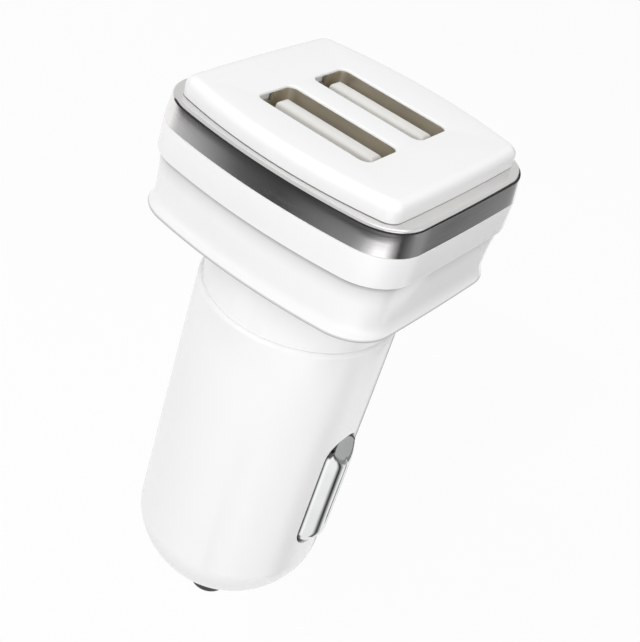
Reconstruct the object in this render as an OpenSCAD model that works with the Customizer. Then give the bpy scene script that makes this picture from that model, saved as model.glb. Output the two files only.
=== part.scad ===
// Two-port USB car charger that plugs into a 12 V vehicle socket.
// The origin is on the barrel's axis, at the upper end of its guiding land.
// +Z runs up through the head to the face with the ports, X along the ports.

/* [Barrel] */
// Diameter of the barrel where the vehicle socket guides it
barrel_d = 20.7; // [20.2:0.1:20.9]
// Length of the guiding land
land_l = 9; // [7.5:0.1:9.6]
// Moulding draft of the barrel below its land, on the radius
barrel_draft = 0.1; // [0.05:0.05:0.2]
// Depth below the rim at which the nose begins to round
nose_top = 30.5; // [30:0.1:31.5]
// Depth below the rim at which the plastic nose ends
nose_end = 38.9; // [38.4:0.1:39.8]
// Radius of the flat at the end of the nose
nose_flat_r = 3.4; // [3.1:0.1:3.8]
// Fullness of the nose curve, 2 for an ellipse
nose_power = 1.75; // [1.65:0.05:2]
// Wall of the barrel
barrel_wall = 1.5; // [1.3:0.1:1.7]
// Radius on the barrel's outer rim edge
rim_round = 0.4; // [0.2:0.1:0.6]

/* [Neck] */
// Wall of the barrel round the neck
socket_wall = 1.2; // [1.1:0.05:1.4]
// Step from the barrel's side in to the neck's side
neck_step = 0.4; // [0.4:0.05:0.8]
// Height of the head's underside above the guiding land
neck_h = 7.1; // [6.5:0.1:9]
// Wall of the neck tube
neck_wall = 1.3; // [1:0.1:1.5]
// Depth to which the neck tube is let into the barrel
neck_in = 6; // [5:0.5:7.5]

/* [Head] */
// Half length of the head along the ports, at mid side
head_a = 14.15; // [13.8:0.05:15]
// Half depth of the head across the ports, at mid side
head_b = 13.35; // [13.1:0.05:14.2]
// Bow of the head's short sides
head_bow_x = 0.25; // [0.1:0.05:0.4]
// Bow of the head's long sides
head_bow_y = 1.7; // [1.3:0.1:1.9]
// Radius of the head's corners
head_r = 5; // [4.5:0.1:5.4]
// Height of the lower tier, from the lip's underside to the step
skirt_h = 5.9; // [5.2:0.1:7]
// Height of the upper white tier
band_h = 3.2; // [2.8:0.1:4]
// Height of the metal trim ring
ring_h = 2.6; // [2.5:0.1:3.2]
// Height by which the face plate stands above the trim ring
face_rise = 1.9; // [1.6:0.1:2.4]
// Inset of the lower tier's top edge under the step
step_in = 0.3; // [0.2:0.05:0.5]
// Inset of the lower tier's waist above its lip
waist_in = 0.55; // [0.4:0.05:0.8]
// Inset of the lip's edge
lip_in = 0.15; // [0:0.05:0.3]
// Height of the lip
lip_t = 1; // [0.7:0.1:1.4]
// Wall of the head's two white tiers
head_wall = 1.5; // [1.3:0.1:1.6]
// Thickness of the head's floor
floor_t = 1.2; // [1:0.1:1.5]
// Thickness of the shelf at the top of the upper tier
shelf_t = 1.2; // [1:0.1:1.3]
// Draft of the trim ring's side, inward at its top
ring_draft = 0.33; // [0.1:0.01:0.4]
// Radius on the trim ring's outer top edge
ring_round = 0.4; // [0.3:0.1:0.6]
// Thickness of the trim ring's top flange
ring_t = 0.9; // [0.8:0.05:1.1]
// Wall of the trim ring's side
ring_wall = 1.1; // [0.9:0.05:1.2]

/* [Face plate] */
// Step from the head's short side in to the face plate's side
face_in_x = 1.9; // [1.75:0.05:2.1]
// Step from the head's long side in to the face plate's side
face_in_y = 1.25; // [1.15:0.05:1.4]
// Bow of the face plate's short sides
face_bow_x = 0.25; // [0.1:0.05:0.4]
// Bow of the face plate's long sides
face_bow_y = 1.7; // [1.3:0.1:1.9]
// Radius of the face plate's corners
face_r = 1.5; // [1.3:0.1:2]
// Radius on the face plate's top edge
face_round = 1; // [0.4:0.1:1.2]
// Thickness of the face plate's skin
face_t = 1.5; // [1.2:0.1:1.8]
// Width of each snap leg
leg_w = 4; // [3:0.5:5]
// Thickness of each snap leg
leg_t = 0.9; // [0.8:0.05:1]
// Reach of the hook on each snap leg
hook_reach = 0.5; // [0.4:0.05:0.6]

/* [Ports] */
// Length of a port's opening
port_l = 12.5; // [12.4:0.05:12.8]
// Width of a port's opening
port_w = 5.12; // [5:0.02:5.3]
// Corner radius of a port's opening
port_r = 0.85; // [0.5:0.05:1]
// Distance between the two ports' centre lines
port_pitch = 8.2; // [7.9:0.1:8.6]
// Offset of the pair of ports towards the front
port_shift = 0.5; // [0:0.1:0.6]
// Depth of a shell's mouth below the face
mouth_in = 0.3; // [0.3:0.05:1]
// Sheet thickness of a port's metal shell
shell_t = 0.3; // [0.25:0.01:0.35]
// Gap beside the contact tongue at each of its narrow sides
tongue_side = 0.7; // [0.5:0.05:1]
// Thickness of the contact tongue
tongue_t = 1.6; // [1.5:0.02:1.9]
// Gap between the contact tongue and the port's rear wall
tongue_gap = 1.25; // [1:0.05:1.4]
// Depth of the tongue's end below the face
tongue_in = 0.7; // [0.6:0.1:2]
// Thickness of the receptacle's moulded base
base_t = 1.2; // [1:0.1:1.5]

/* [Contacts] */
// Diameter of the tip contact
tip_d = 4.4; // [4:0.1:4.6]
// Height by which the tip contact stands out of the nose at rest
tip_out = 4.4; // [4:0.1:4.8]
// Travel of the tip contact
tip_travel = 2.2; // [1.6:0.1:2.4]
// Width of a side contact
side_w = 4.6; // [4.2:0.1:5]
// Length of a side contact along the barrel
side_l = 15; // [14:0.1:15.2]
// Depth below the rim at which a side contact begins
side_top = 11.9; // [11.5:0.1:12.6]
// Height by which a side contact's ridge stands out of the barrel at rest
side_out = 1.05; // [0.8:0.05:1.2]
// Length of the sloped end of a side contact
side_slope = 2.8; // [2:0.1:3.5]
// Sheet thickness of a side contact
side_t = 0.5; // [0.4:0.05:0.6]
// Travel of a side contact
side_travel = 1.3; // [1.2:0.05:1.5]

/* [Boards] */
// Thickness of the upright circuit board
board_t = 1.2; // [1:0.1:1.6]
// Thickness of the board that carries the ports
port_board_t = 1; // [0.8:0.1:1.2]

/* [Hidden] */
$fn = 64;

// Clearances
fit_gap = 0.05;
slide_gap = 0.08;
free_gap = 0.15;
eps = 0.01;

// Heights along the axis
head_z = neck_h;
floor_z = head_z + floor_t;
step_z = head_z + skirt_h;
ring_z = step_z + band_h;
ring_top_z = ring_z + ring_h;
face_z = ring_top_z + face_rise;
port_base_z = floor_z + port_board_t;
mouth_z = face_z - mouth_in;
tongue_z = face_z - tongue_in;

// Radii on the axis
barrel_r = barrel_d / 2;
foot_r = barrel_r - barrel_draft;
neck_r = barrel_r - socket_wall - fit_gap;
neck_in_r = neck_r - neck_wall;
neck_out_r = barrel_r - neck_step;
bore_r = barrel_r - barrel_wall;
tip_r = tip_d / 2;

// Half sizes of the face plate
face_a = head_a - face_in_x;
face_b = head_b - face_in_y;

// Inside of the nose and the tip's guide
seat_t = 2;
seat_z = -nose_end + seat_t;
flange_t = 1;
flange_r = tip_r + 1.3;
guide_r = flange_r + free_gap;
guide_wall = 0.8;
guide_top_z = seat_z + flange_t + tip_travel + 0.8;
nose_floor_z = seat_z + 1.5;
bore_end_z = -nose_top;
tip_end_z = -nose_end - tip_out;
tip_dome = 0.9;
tip_stub_r = 1.3;
tip_stub_l = 1.2;

// Spring between tip and upright board
spring_wire = 0.45;
spring_r = 2.3;
spring_turns = 5;
spring_low_z = seat_z + flange_t;
seat_disc_r = 3.2;
seat_disc_t = 0.5;
board_low_z = max(seat_z + 8, -nose_top - 2.3);
seat_disc_z = board_low_z - seat_disc_t;
seat_fork_l = 2;
seat_fork_w = 2.4;
seat_fork_t = 0.4;

// Side contacts: a ridge of circular section over a straight body
side_ridge_x = barrel_r + side_out;
side_edge_x = sqrt(foot_r * foot_r - side_w * side_w / 4) - 0.05;
side_sag = side_ridge_x - side_edge_x;
side_arc_r = (side_w * side_w / 4 + side_sag * side_sag) / (2 * side_sag);
side_flange_w = 1;
side_flange_t = 0.6;
side_flange_x = sqrt(pow(foot_r - barrel_wall, 2) - pow(side_w / 2 + side_flange_w, 2)) - slide_gap;
side_low_z = -side_top - side_l;
window_gap = 0.12;

// Leaf springs behind the side contacts
leaf_t = 0.25;
leaf_side = 1.1;
leaf_w = side_w - 2 * leaf_side;
leaf_foot_l = 3;
leaf_gap = 0.1;
leaf_hollow = sqrt(pow(side_arc_r - side_t, 2) - leaf_w * leaf_w / 4);
leaf_top_x = side_ridge_x - side_arc_r + leaf_hollow - leaf_gap;
leaf_mid_z = -side_top - side_l / 2;

// Inside of the head
cavity_in = head_wall + 0.9;
skirt_up_h = 0.6;
ring_in = ring_wall + ring_draft;
band_up_h = 0.7;
band_up_in = ring_in + 0.1;
shelf_in = band_up_in + 1;
plug_in = shelf_in + 0.17;
opening_in = shelf_in + 0.07;
plug_wall = 1.2;
plug_z = ring_z - 0.6;
hook_top_z = ring_z - shelf_t - fit_gap;
hook_h = 0.9;
peg_r = 0.6;
peg_side = 1.45;
peg_x = port_l / 2 + shell_t + peg_side;
peg_y = 5;

// Boards
port_board_edge = 0.74;
port_board_l = 2 * (peg_x + 1);
port_board_w = port_pitch + 2 * port_shift + port_w + 2 * shell_t + 2 * port_board_edge;
board_side = 0.3;
board_w = 2 * (neck_in_r - board_side);
board_high_z = floor_z;
pin_w = 0.64;
pin_pitch = 2;
link_bar = 3.2;
link_x = board_t / 2 + link_bar / 2;
link_z = floor_z - link_bar / 2;

// Ports
front_y = -port_shift - port_pitch / 2;
rear_y = -port_shift + port_pitch / 2;
tongue_w = port_l - 2 * tongue_side;
tongue_y = port_w / 2 - tongue_gap - tongue_t;
pad_w = 1;
pad_t = 0.2;
pad_x = [-3.5, -1, 1, 3.5];
shell_leg_w = 1.6;
shell_leg_l = port_board_t - 0.1;
finger_x = 3.2;
finger_w = 2.4;
finger_l = 4.4;
finger_slot = 0.4;
finger_in = 3.9;
notch_t = 0.8;
notch_y = -2.4;
notch_w = 2.5;

// Parts on the upright board
core_z = 1;
core_r = 3.2;
core_l = 4;
core_flange = 0.7;
can_r = 2;
can_l = 7;
can_y = 2.4;
can_z = -5;
regulator_z = -5;
regulator_size = [4.9, 3.9, 1.6];
regulator_leads = 4;
charge_z = 4;
charge_size = [2.9, 1.6, 1.1];
charge_leads = 3;
lead_w = 0.4;
lead_l = 1.2;
lead_h = 0.6;

function arc(c, r, a1, a2, n) = [for (i = [0:n - 1]) c + r * [cos(a1 + (a2 - a1) * i / n), sin(a1 + (a2 - a1) * i / n)]];

function reversed(p) = [for (i = [len(p) - 1:-1:0]) p[i]];

// Rectangle with bowed sides and round corners, drawn in by the inset i
function bowed(a, b, sx, sy, r, i) =
    let (
        rx = (b * b + sx * sx) / (2 * sx),
        ry = (a * a + sy * sy) / (2 * sy),
        cx = [a - rx, 0],
        cy = [0, b - ry],
        d = norm(cy - cx),
        u = (cy - cx) / d,
        t = ((rx - r) * (rx - r) - (ry - r) * (ry - r) + d * d) / (2 * d),
        h = sqrt((rx - r) * (rx - r) - t * t),
        c = cx + t * u + h * [-u[1], u[0]],
        a1 = atan2(c[1] - cx[1], c[0] - cx[0]),
        a2 = atan2(c[1] - cy[1], c[0] - cy[0]),
        q = concat(
            arc(cx, rx - i, 0, a1, 3),
            arc(c, r - i, a1, a2, 7),
            arc(cy, ry - i, a2, 90, 5),
            [[0, b - i]]),
        n = len(q),
        half = concat(q, [for (k = [n - 2:-1:1]) [-q[k][0], q[k][1]]])
    )
    concat(half, [for (p = half) -p]);

function head_line(i) = bowed(head_a, head_b, head_bow_x, head_bow_y, head_r, i);

function face_line(i) = bowed(face_a, face_b, face_bow_x, face_bow_y, face_r, min(i, face_r - 0.1));

function level_points(levels) = [for (l = levels) for (p = l[0]) [p[0], p[1], l[1]]];

function level_sides(n, rows, total) = [for (j = [0:rows - 1]) for (i = [0:n - 1])
    let (a = j * n + i, b = j * n + (i + 1) % n, c = (a + n) % total, d = (b + n) % total)
    each [[a, c, d], [a, d, b]]];

// Solid through a list of [outline, height] pairs, closed by its first and last outline
module loft(levels) {
    n = len(levels[0][0]);
    m = len(levels);
    bottom = [for (i = [0:n - 1]) i];
    top = [for (i = [n - 1:-1:0]) (m - 1) * n + i];
    polyhedron(level_points(levels), concat([bottom], [top], level_sides(n, m - 1, m * n)), convexity = 6);
}

// Ring whose section runs through a closed list of [outline, height] pairs
module ring_loft(levels) {
    n = len(levels[0][0]);
    m = len(levels);
    polyhedron(level_points(levels), level_sides(n, m, m * n), convexity = 6);
}

// Circle with one point in the direction of each point of the head's outline
function round_line(r) = [for (p = head_line(0)) r * p / norm(p)];

// Rectangle with round corners, n edges to each corner
module round_rect(l, w, r, n = 4) {
    x = l / 2 - r;
    y = w / 2 - r;
    polygon(concat(
        arc([x, y], r, 0, 90, n), [[x, y + r]],
        arc([-x, y], r, 90, 180, n), [[-x - r, y]],
        arc([-x, -y], r, 180, 270, n), [[-x, -y - r]],
        arc([x, -y], r, 270, 360, n), [[x + r, -y]]));
}

// Outer radius of the nose at a share t of its length, from 0 at its top
function nose_r(t) = foot_r * pow(1 - pow(t, nose_power), 1 / nose_power);

// Share of the full curve at which the nose is cut flat
nose_cut = pow(1 - pow(nose_flat_r / foot_r, nose_power), 1 / nose_power);
nose_full = (nose_end - nose_top) / nose_cut;
nose_steps = 14;
nose_points = [for (i = [0:nose_steps])
    let (t = nose_cut * sin(90 * i / nose_steps))
    [nose_r(t), -nose_top - nose_full * t]];

// Inside of the nose, drawn in by the wall
nose_in_full = nose_full - barrel_wall;
nose_in_steps = 8;
nose_in_cut = (-nose_floor_z - nose_top) / nose_in_full;
nose_in_points = [for (i = [0:nose_in_steps])
    let (t = nose_in_cut * i / nose_in_steps)
    [(foot_r - barrel_wall) * pow(1 - pow(t, nose_power), 1 / nose_power), -nose_top - nose_in_full * t]];

module side_window() {
    l = side_l + 2 * window_gap;
    w = side_w + 2 * window_gap;
    translate([0, 0, -side_top + window_gap])
        rotate([0, 90, 0])
            linear_extrude(barrel_r + 2)
                translate([l / 2, 0])
                    round_rect(l, w, w / 2 - 0.1, 8);
}

module board_rails() {
    rail_t = 1;
    rail_l = nose_top - neck_in - 1;
    rail_w = bore_r + 0.45 - board_w / 2 + 1;
    for (s = [0, 180], u = [-1, 1])
        rotate([0, 0, s])
            translate([u * (board_t / 2 + fit_gap + rail_t / 2), board_w / 2 - 1 + rail_w / 2, -nose_top + rail_l / 2])
                cube([rail_t, rail_w, rail_l], center = true);
}

// Bullet-shaped cup with a window for each side contact
module barrel() {
    color("white")
        union() {
            difference() {
                rotate_extrude($fn = 96)
                    polygon(concat(
                        [[neck_r + fit_gap, rim_round], [barrel_r - rim_round, rim_round]],
                        [for (i = [1:4]) [barrel_r - rim_round, 0] + rim_round * [sin(22.5 * i), cos(22.5 * i)]],
                        [[barrel_r, -land_l]],
                        nose_points,
                        [[tip_r + slide_gap, -nose_end], [tip_r + slide_gap, seat_z],
                         [guide_r, seat_z], [guide_r, guide_top_z],
                         [guide_r + guide_wall, guide_top_z], [guide_r + guide_wall, nose_floor_z]],
                        reversed(nose_in_points),
                        [[bore_r, -land_l], [bore_r, -neck_in], [neck_r + fit_gap, -neck_in]]));
                for (s = [0, 180])
                    rotate([0, 0, s])
                        side_window();
            }
            board_rails();
        }
}

// Lower tier of the head with its floor and the neck
module head_base() {
    color("white")
        union() {
            ring_loft([
                [round_line(neck_r), -neck_in],
                [round_line(neck_r), rim_round],
                [round_line(neck_out_r), rim_round],
                [round_line(neck_out_r), head_z],
                [head_line(lip_in + 0.25), head_z],
                [head_line(lip_in), head_z + 0.25],
                [head_line(lip_in + 0.03), head_z + lip_t / 2],
                [head_line(waist_in), head_z + lip_t],
                [head_line(step_in), step_z],
                [head_line(head_wall + fit_gap), step_z],
                [head_line(head_wall + fit_gap), step_z + skirt_up_h],
                [head_line(cavity_in), step_z + skirt_up_h],
                [head_line(cavity_in), floor_z],
                [round_line(neck_in_r), floor_z],
                [round_line(neck_in_r), -neck_in]]);
            for (x = [-1, 1], y = [-1, 1])
                translate([x * peg_x, y * peg_y, floor_z - 0.5])
                    cylinder(r = peg_r, h = 0.5 + port_board_t + 0.4, $fn = 24);
        }
}

// Upper tier of the head
module collar_band() {
    color("white")
        ring_loft([
            [head_line(0), step_z],
            [head_line(0), ring_z],
            [head_line(band_up_in), ring_z],
            [head_line(band_up_in), ring_z + band_up_h],
            [head_line(shelf_in), ring_z + band_up_h],
            [head_line(shelf_in), ring_z - shelf_t],
            [head_line(head_wall), ring_z - shelf_t],
            [head_line(head_wall), step_z]]);
}

module trim_ring() {
    top = ring_draft + ring_round;
    color("dimgray")
        ring_loft([
            [head_line(0.08), ring_z],
            [head_line(0), ring_z + 0.08],
            [head_line(ring_draft), ring_top_z - ring_round],
            [head_line(top - ring_round * cos(30)), ring_top_z - ring_round * 0.5],
            [head_line(top - ring_round * cos(60)), ring_top_z - ring_round * (1 - sin(60))],
            [head_line(top), ring_top_z],
            [head_line(opening_in), ring_top_z],
            [head_line(opening_in), ring_top_z - ring_t],
            [head_line(ring_in), ring_top_z - ring_t],
            [head_line(ring_in), ring_z]]);
}

module snap_leg(reach_in) {
    length = ring_top_z - hook_top_z + hook_h;
    translate([reach_in - leg_t, leg_w / 2, ring_top_z])
        rotate([90, 0, 0])
            linear_extrude(leg_w)
                polygon([
                    [0, 0.5], [0, -length], [leg_t, -length],
                    [leg_t + hook_reach, -length + 0.4], [leg_t + hook_reach, -length + hook_h],
                    [leg_t, -length + hook_h], [leg_t, 0.5]]);
}

// Bowed cap with two openings, standing on the trim ring
module face_plate() {
    q = port_w + 2 * shell_t + 2 * free_gap;
    l = port_l + 2 * shell_t + 2 * free_gap;
    color("white")
        union() {
            difference() {
                loft(concat(
                    [[head_line(plug_in + plug_wall), face_z - face_t],
                     [head_line(plug_in + plug_wall), plug_z],
                     [head_line(plug_in), plug_z],
                     [head_line(plug_in), ring_top_z]],
                    [[face_line(0), ring_top_z]],
                    [for (i = [0:4])
                        [face_line(face_round * (1 - cos(22.5 * i))), face_z - face_round * (1 - sin(22.5 * i))]]));
                for (y = [front_y, rear_y])
                    translate([0, y, 0]) {
                        translate([0, 0, face_z - face_t - 1])
                            linear_extrude(face_t + 2)
                                round_rect(port_l, port_w, port_r);
                        translate([0, 0, face_z - face_t - 1])
                            linear_extrude(mouth_z + fit_gap - face_z + face_t + 1)
                                round_rect(l, q, port_r + shell_t);
                    }
            }
            for (s = [0, 180]) {
                rotate([0, 0, s])
                    snap_leg(head_a - plug_in - 0.1);
                rotate([0, 0, s + 90])
                    snap_leg(head_b - plug_in - 0.1);
            }
        }
}

module tip_contact() {
    color("silver")
        rotate_extrude()
            polygon(concat(
                [[0, tip_end_z]],
                [for (i = [1:6]) [tip_r * sin(15 * i), tip_end_z + tip_dome * (1 - cos(15 * i))]],
                [[tip_r, seat_z], [flange_r, seat_z], [flange_r, seat_z + flange_t],
                 [tip_stub_r, seat_z + flange_t], [tip_stub_r, seat_z + flange_t + tip_stub_l],
                 [0, seat_z + flange_t + tip_stub_l]]));
}

// Wire wound round the axis with closed ends, from z1 to z2
module coil(r, wire, turns, z1, z2) {
    n = 18;
    k = 6;
    steps = turns * n;
    rise = (z2 - z1 - 3 * wire) / (turns - 2);
    heights = [for (i = [0:steps])
        let (u = i / n)
        z1 + wire / 2 + wire * min(u, 1) + rise * min(max(u - 1, 0), turns - 2) + wire * max(u - turns + 1, 0)];
    points = [for (i = [0:steps], j = [0:k - 1])
        let (a = 360 * i / n, b = 360 * j / k, q = r + wire / 2 * cos(b))
        [q * cos(a), q * sin(a), heights[i] + wire / 2 * sin(b)]];
    sides = [for (i = [0:steps - 1], j = [0:k - 1])
        let (a = i * k + j, b = i * k + (j + 1) % k) each [[a, b, b + k], [a, b + k, a + k]]];
    first = [for (j = [k - 1:-1:0]) j];
    last = [for (j = [0:k - 1]) steps * k + j];
    polyhedron(points, concat([first], sides, [last]), convexity = 10);
}

module tip_spring() {
    color("gray")
        coil(spring_r, spring_wire, spring_turns, spring_low_z, seat_disc_z);
}

// Disc that the spring bears on, with a fork soldered over the board's end
module spring_seat() {
    color("gold") {
        translate([0, 0, seat_disc_z])
            cylinder(r = seat_disc_r, h = seat_disc_t);
        for (s = [-1, 1])
            translate([s * (board_t / 2 + seat_fork_t / 2), 0, seat_disc_z + seat_disc_t / 2 + seat_fork_l / 2])
                cube([seat_fork_t, seat_fork_w, seat_disc_t + seat_fork_l], center = true);
    }
}

// Domed bar seen end on from +X, drawn in by the inset d
module side_form(d) {
    r = side_arc_r - d;
    cx = side_ridge_x - side_arc_r;
    dome_z = side_low_z + side_w / 2;
    difference() {
        intersection() {
            union() {
                translate([cx, 0, dome_z])
                    cylinder(r = r, h = side_l, $fn = 96);
                translate([cx, 0, dome_z])
                    sphere(r, $fn = 96);
            }
            translate([0, 0, -side_top - d])
                rotate([0, 90, 0])
                    linear_extrude(side_ridge_x + 1)
                        translate([side_l / 2 - d, 0])
                            round_rect(side_l - 2 * d, side_w - 2 * d, side_w / 2 - d - 0.1, 8);
        }
        translate([side_ridge_x - d, -side_w, -side_top - side_slope - d])
            rotate([0, atan2(side_edge_x - side_ridge_x, side_slope), 0])
                translate([0, 0, -side_slope])
                    cube([side_w, 2 * side_w, 3 * side_slope]);
    }
}

// Pressed contact, hollow at the back, with a flange behind the barrel's wall
module side_contact() {
    fl = side_l + 2 * side_flange_w;
    fw = side_w + 2 * side_flange_w;
    color("silver")
        difference() {
            union() {
                intersection() {
                    side_form(0);
                    translate([side_flange_x - side_flange_t / 2, -side_w, side_low_z - 1])
                        cube([side_arc_r + side_flange_t + side_w, 2 * side_w, side_l + 2]);
                }
                translate([side_flange_x - side_flange_t, -fw / 2, side_low_z - side_flange_w])
                    cube([side_flange_t, fw, fl]);
            }
            side_form(side_t);
        }
}

module side_contact_right() {
    side_contact();
}

module side_contact_left() {
    rotate([0, 0, 180])
        side_contact();
}

// Leaf from the upright board out to the hollow of a side contact
module leaf_spring() {
    x0 = board_t / 2;
    x1 = leaf_top_x - leaf_t;
    z0 = side_low_z + 1.5;
    z1 = z0 + leaf_foot_l;
    z2 = leaf_mid_z + 0.5;
    z3 = leaf_mid_z + 3.5;
    x3 = x1 - 1;
    color("goldenrod")
        translate([0, leaf_w / 2, 0])
            rotate([90, 0, 0])
                linear_extrude(leaf_w)
                    polygon([
                        [x0, z0], [x0, z1 + leaf_t], [x0 + 0.4, z1 + 2 * leaf_t],
                        [x1 - 0.3, z2], [x1, z2 + 0.5], [x3, z3], [x3 + leaf_t, z3 + leaf_t / 2],
                        [x1 + leaf_t, z2 + 0.4], [x1, z2 - 2 * leaf_t],
                        [x0 + leaf_t + 0.4, z1 + leaf_t], [x0 + leaf_t, z1], [x0 + leaf_t, z0]]);
}

module side_spring_right() {
    leaf_spring();
}

module side_spring_left() {
    rotate([0, 0, 180])
        leaf_spring();
}

// Board that carries the two receptacles
module port_board() {
    color("green")
        translate([0, 0, floor_z])
            linear_extrude(port_board_t)
                difference() {
                    round_rect(port_board_l, port_board_w, 1);
                    for (x = [-1, 1], y = [-1, 1])
                        translate([x * peg_x, y * peg_y])
                            circle(peg_r + 0.1, $fn = 24);
                    for (y = [front_y, rear_y]) {
                        for (x = pad_x)
                            translate([x, y + tongue_y + pad_t / 2])
                                square([pad_w + 0.2, pad_t + 0.2], center = true);
                        for (s = [-1, 1])
                            translate([s * (port_l + shell_t) / 2, y])
                                square([shell_t + 0.2, shell_leg_w + 0.2], center = true);
                    }
                    for (i = [-1.5:1:1.5])
                        translate([link_x, i * pin_pitch])
                            square(pin_w + 0.2, center = true);
                }
}

// Upright board between the rails of the barrel
module main_board() {
    color("green")
        difference() {
            translate([-board_t / 2, -board_w / 2, board_low_z])
                cube([board_t, board_w, board_high_z - board_low_z]);
            for (i = [-1.5:1:1.5])
                translate([0, i * pin_pitch, link_z])
                    cube([board_t + 1, pin_w + 0.2, pin_w + 0.2], center = true);
        }
}

// Row of bent pins that joins the two boards
module board_link() {
    color("dimgray")
        difference() {
            translate([board_t / 2, -2 * pin_pitch, floor_z - link_bar])
                cube([link_bar, 4 * pin_pitch, link_bar]);
            for (i = [-1:1])
                translate([link_x, i * pin_pitch, floor_z])
                    cube([link_bar + 1, 0.5, 1], center = true);
        }
    color("gold")
        for (i = [-1.5:1:1.5]) {
            translate([link_x - pin_w / 2, i * pin_pitch - pin_w / 2, link_z])
                cube([pin_w, pin_w, floor_z + port_board_t - 0.1 - link_z]);
            translate([-board_t / 2 - 0.8, i * pin_pitch - pin_w / 2, link_z - pin_w / 2])
                cube([link_x + board_t / 2 + 0.8, pin_w, pin_w]);
        }
}

// Folded metal shell of a receptacle
module usb_shell(y) {
    color("silver")
        translate([0, y, 0]) {
            difference() {
                translate([0, 0, port_base_z])
                    linear_extrude(mouth_z - port_base_z)
                        round_rect(port_l + 2 * shell_t, port_w + 2 * shell_t, port_r + shell_t);
                translate([0, 0, port_base_z - 1])
                    linear_extrude(mouth_z - port_base_z + 2)
                        round_rect(port_l, port_w, port_r);
                for (s = [-1, 1], x = [-1, 1])
                    translate([x * finger_x, s * (port_w + shell_t) / 2, mouth_z - finger_in - finger_l / 2])
                        difference() {
                            cube([finger_w, shell_t + 0.4, finger_l], center = true);
                            translate([0, 0, finger_slot])
                                cube([finger_w - 2 * finger_slot, shell_t + 1, finger_l], center = true);
                        }
                translate([-port_l / 2 - shell_t - 0.2, notch_y, mouth_z - notch_t])
                    cube([shell_t + 0.2 + port_r, notch_w, notch_t + 1]);
            }
            for (s = [-1, 1])
                translate([s * (port_l + shell_t) / 2, 0, port_base_z - shell_leg_l / 2 + 0.5])
                    cube([shell_t, shell_leg_w, shell_leg_l + 1], center = true);
        }
}

module usb_shell_front() {
    usb_shell(front_y);
}

module usb_shell_rear() {
    usb_shell(rear_y);
}

// Moulded base and tongue of a receptacle
module usb_insulator(y) {
    w = 2 * fit_gap;
    color("whitesmoke")
        translate([0, y, 0])
            difference() {
                union() {
                    translate([0, 0, port_base_z])
                        linear_extrude(base_t)
                            round_rect(port_l - w, port_w - w, port_r - fit_gap);
                    translate([-tongue_w / 2, tongue_y, port_base_z + base_t / 2])
                        cube([tongue_w, tongue_t, tongue_z - port_base_z - base_t / 2 - 0.3]);
                    translate([-tongue_w / 2 + 0.3, tongue_y + 0.3, tongue_z - 0.5])
                        cube([tongue_w - 0.6, tongue_t - 0.6, 0.5]);
                }
                for (x = pad_x)
                    translate([x - pad_w / 2 - 0.05, tongue_y - 0.02, port_base_z - 1])
                        cube([pad_w + 0.1, pad_t + 0.04, tongue_z - port_base_z]);
            }
}

module usb_insulator_front() {
    usb_insulator(front_y);
}

module usb_insulator_rear() {
    usb_insulator(rear_y);
}

// Four contact strips on a tongue, each with a bowed contact point
module usb_pins(y) {
    low = floor_z + 0.1;
    high = tongue_z - 1.1;
    color("gold")
        translate([0, y + tongue_y, 0])
            for (x = pad_x)
                translate([x - pad_w / 2, 0, 0])
                    rotate([90, 0, 90])
                        linear_extrude(pad_w)
                            polygon([
                                [pad_t, low], [0, low], [0, high - 3.4], [-0.3, high - 2.4],
                                [-0.3, high - 2], [0, high - 1], [0, high], [pad_t, high]]);
}

module usb_pins_front() {
    usb_pins(front_y);
}

module usb_pins_rear() {
    usb_pins(rear_y);
}

// Drum core on the board's +X face
module inductor_core() {
    color("dimgray")
        translate([board_t / 2, 0, core_z])
            rotate([0, 90, 0]) {
                cylinder(r = core_r, h = core_flange, $fn = 48);
                cylinder(r = core_r / 2, h = core_l, $fn = 48);
                translate([0, 0, core_l - core_flange])
                    cylinder(r = core_r, h = core_flange, $fn = 48);
            }
}

// Winding of the drum core, in four visible turns
module inductor_coil() {
    turns = 4;
    wire = (core_l - 2 * core_flange - 0.1) / turns;
    color("orange")
        translate([board_t / 2 + core_flange + 0.05, 0, core_z])
            rotate([0, 90, 0])
                rotate_extrude($fn = 36)
                    union() {
                        translate([core_r / 2 + 0.02, 0.05])
                            square([core_r / 2 - 0.6, turns * wire - 0.1]);
                        for (i = [0:turns - 1])
                            translate([core_r - 0.65, (i + 0.5) * wire])
                                circle(wire / 2, $fn = 12);
                    }
}

// Can with a grooved foot and two leads bent to the board
module can_capacitor(y) {
    x = -board_t / 2 - can_r - 0.05;
    color("silver")
        translate([x, y, can_z]) {
            rotate_extrude($fn = 48)
                polygon([
                    [0, 0], [can_r - 0.3, 0], [can_r, 0.3], [can_r, 1], [can_r - 0.25, 1.25], [can_r, 1.5],
                    [can_r, can_l - 0.3], [can_r - 0.3, can_l], [0, can_l]]);
            for (s = [-1, 1])
                translate([0, s * 1, 0]) {
                    translate([-0.25, -0.25, -0.9])
                        cube([0.5, 0.5, 1]);
                    translate([-0.25, -0.25, -0.9])
                        cube([can_r + 0.3, 0.5, 0.5]);
                }
        }
}

module input_capacitor() {
    can_capacitor(-can_y);
}

module output_capacitor() {
    can_capacitor(can_y);
}

// Chip of a size at a height on the board, on side s, with n leads each way
module chip(s, z, size, n) {
    translate([s * board_t / 2, 0, z])
        rotate([0, s * 90, 0]) {
            translate([-size[0] / 2, -size[1] / 2, 0.12])
                cube([size[0], size[1], size[2] - 0.12]);
            for (i = [0:n - 1], u = [-1, 1])
                translate([(i - (n - 1) / 2) * size[0] / n, u * (size[1] / 2 + lead_l / 3), lead_h / 2])
                    cube([lead_w, lead_l, lead_h], center = true);
        }
}

module regulator_chip() {
    color("dimgray")
        chip(1, regulator_z, regulator_size, regulator_leads);
}

module charge_chip() {
    color("dimgray")
        chip(-1, charge_z, charge_size, charge_leads);
}

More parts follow.
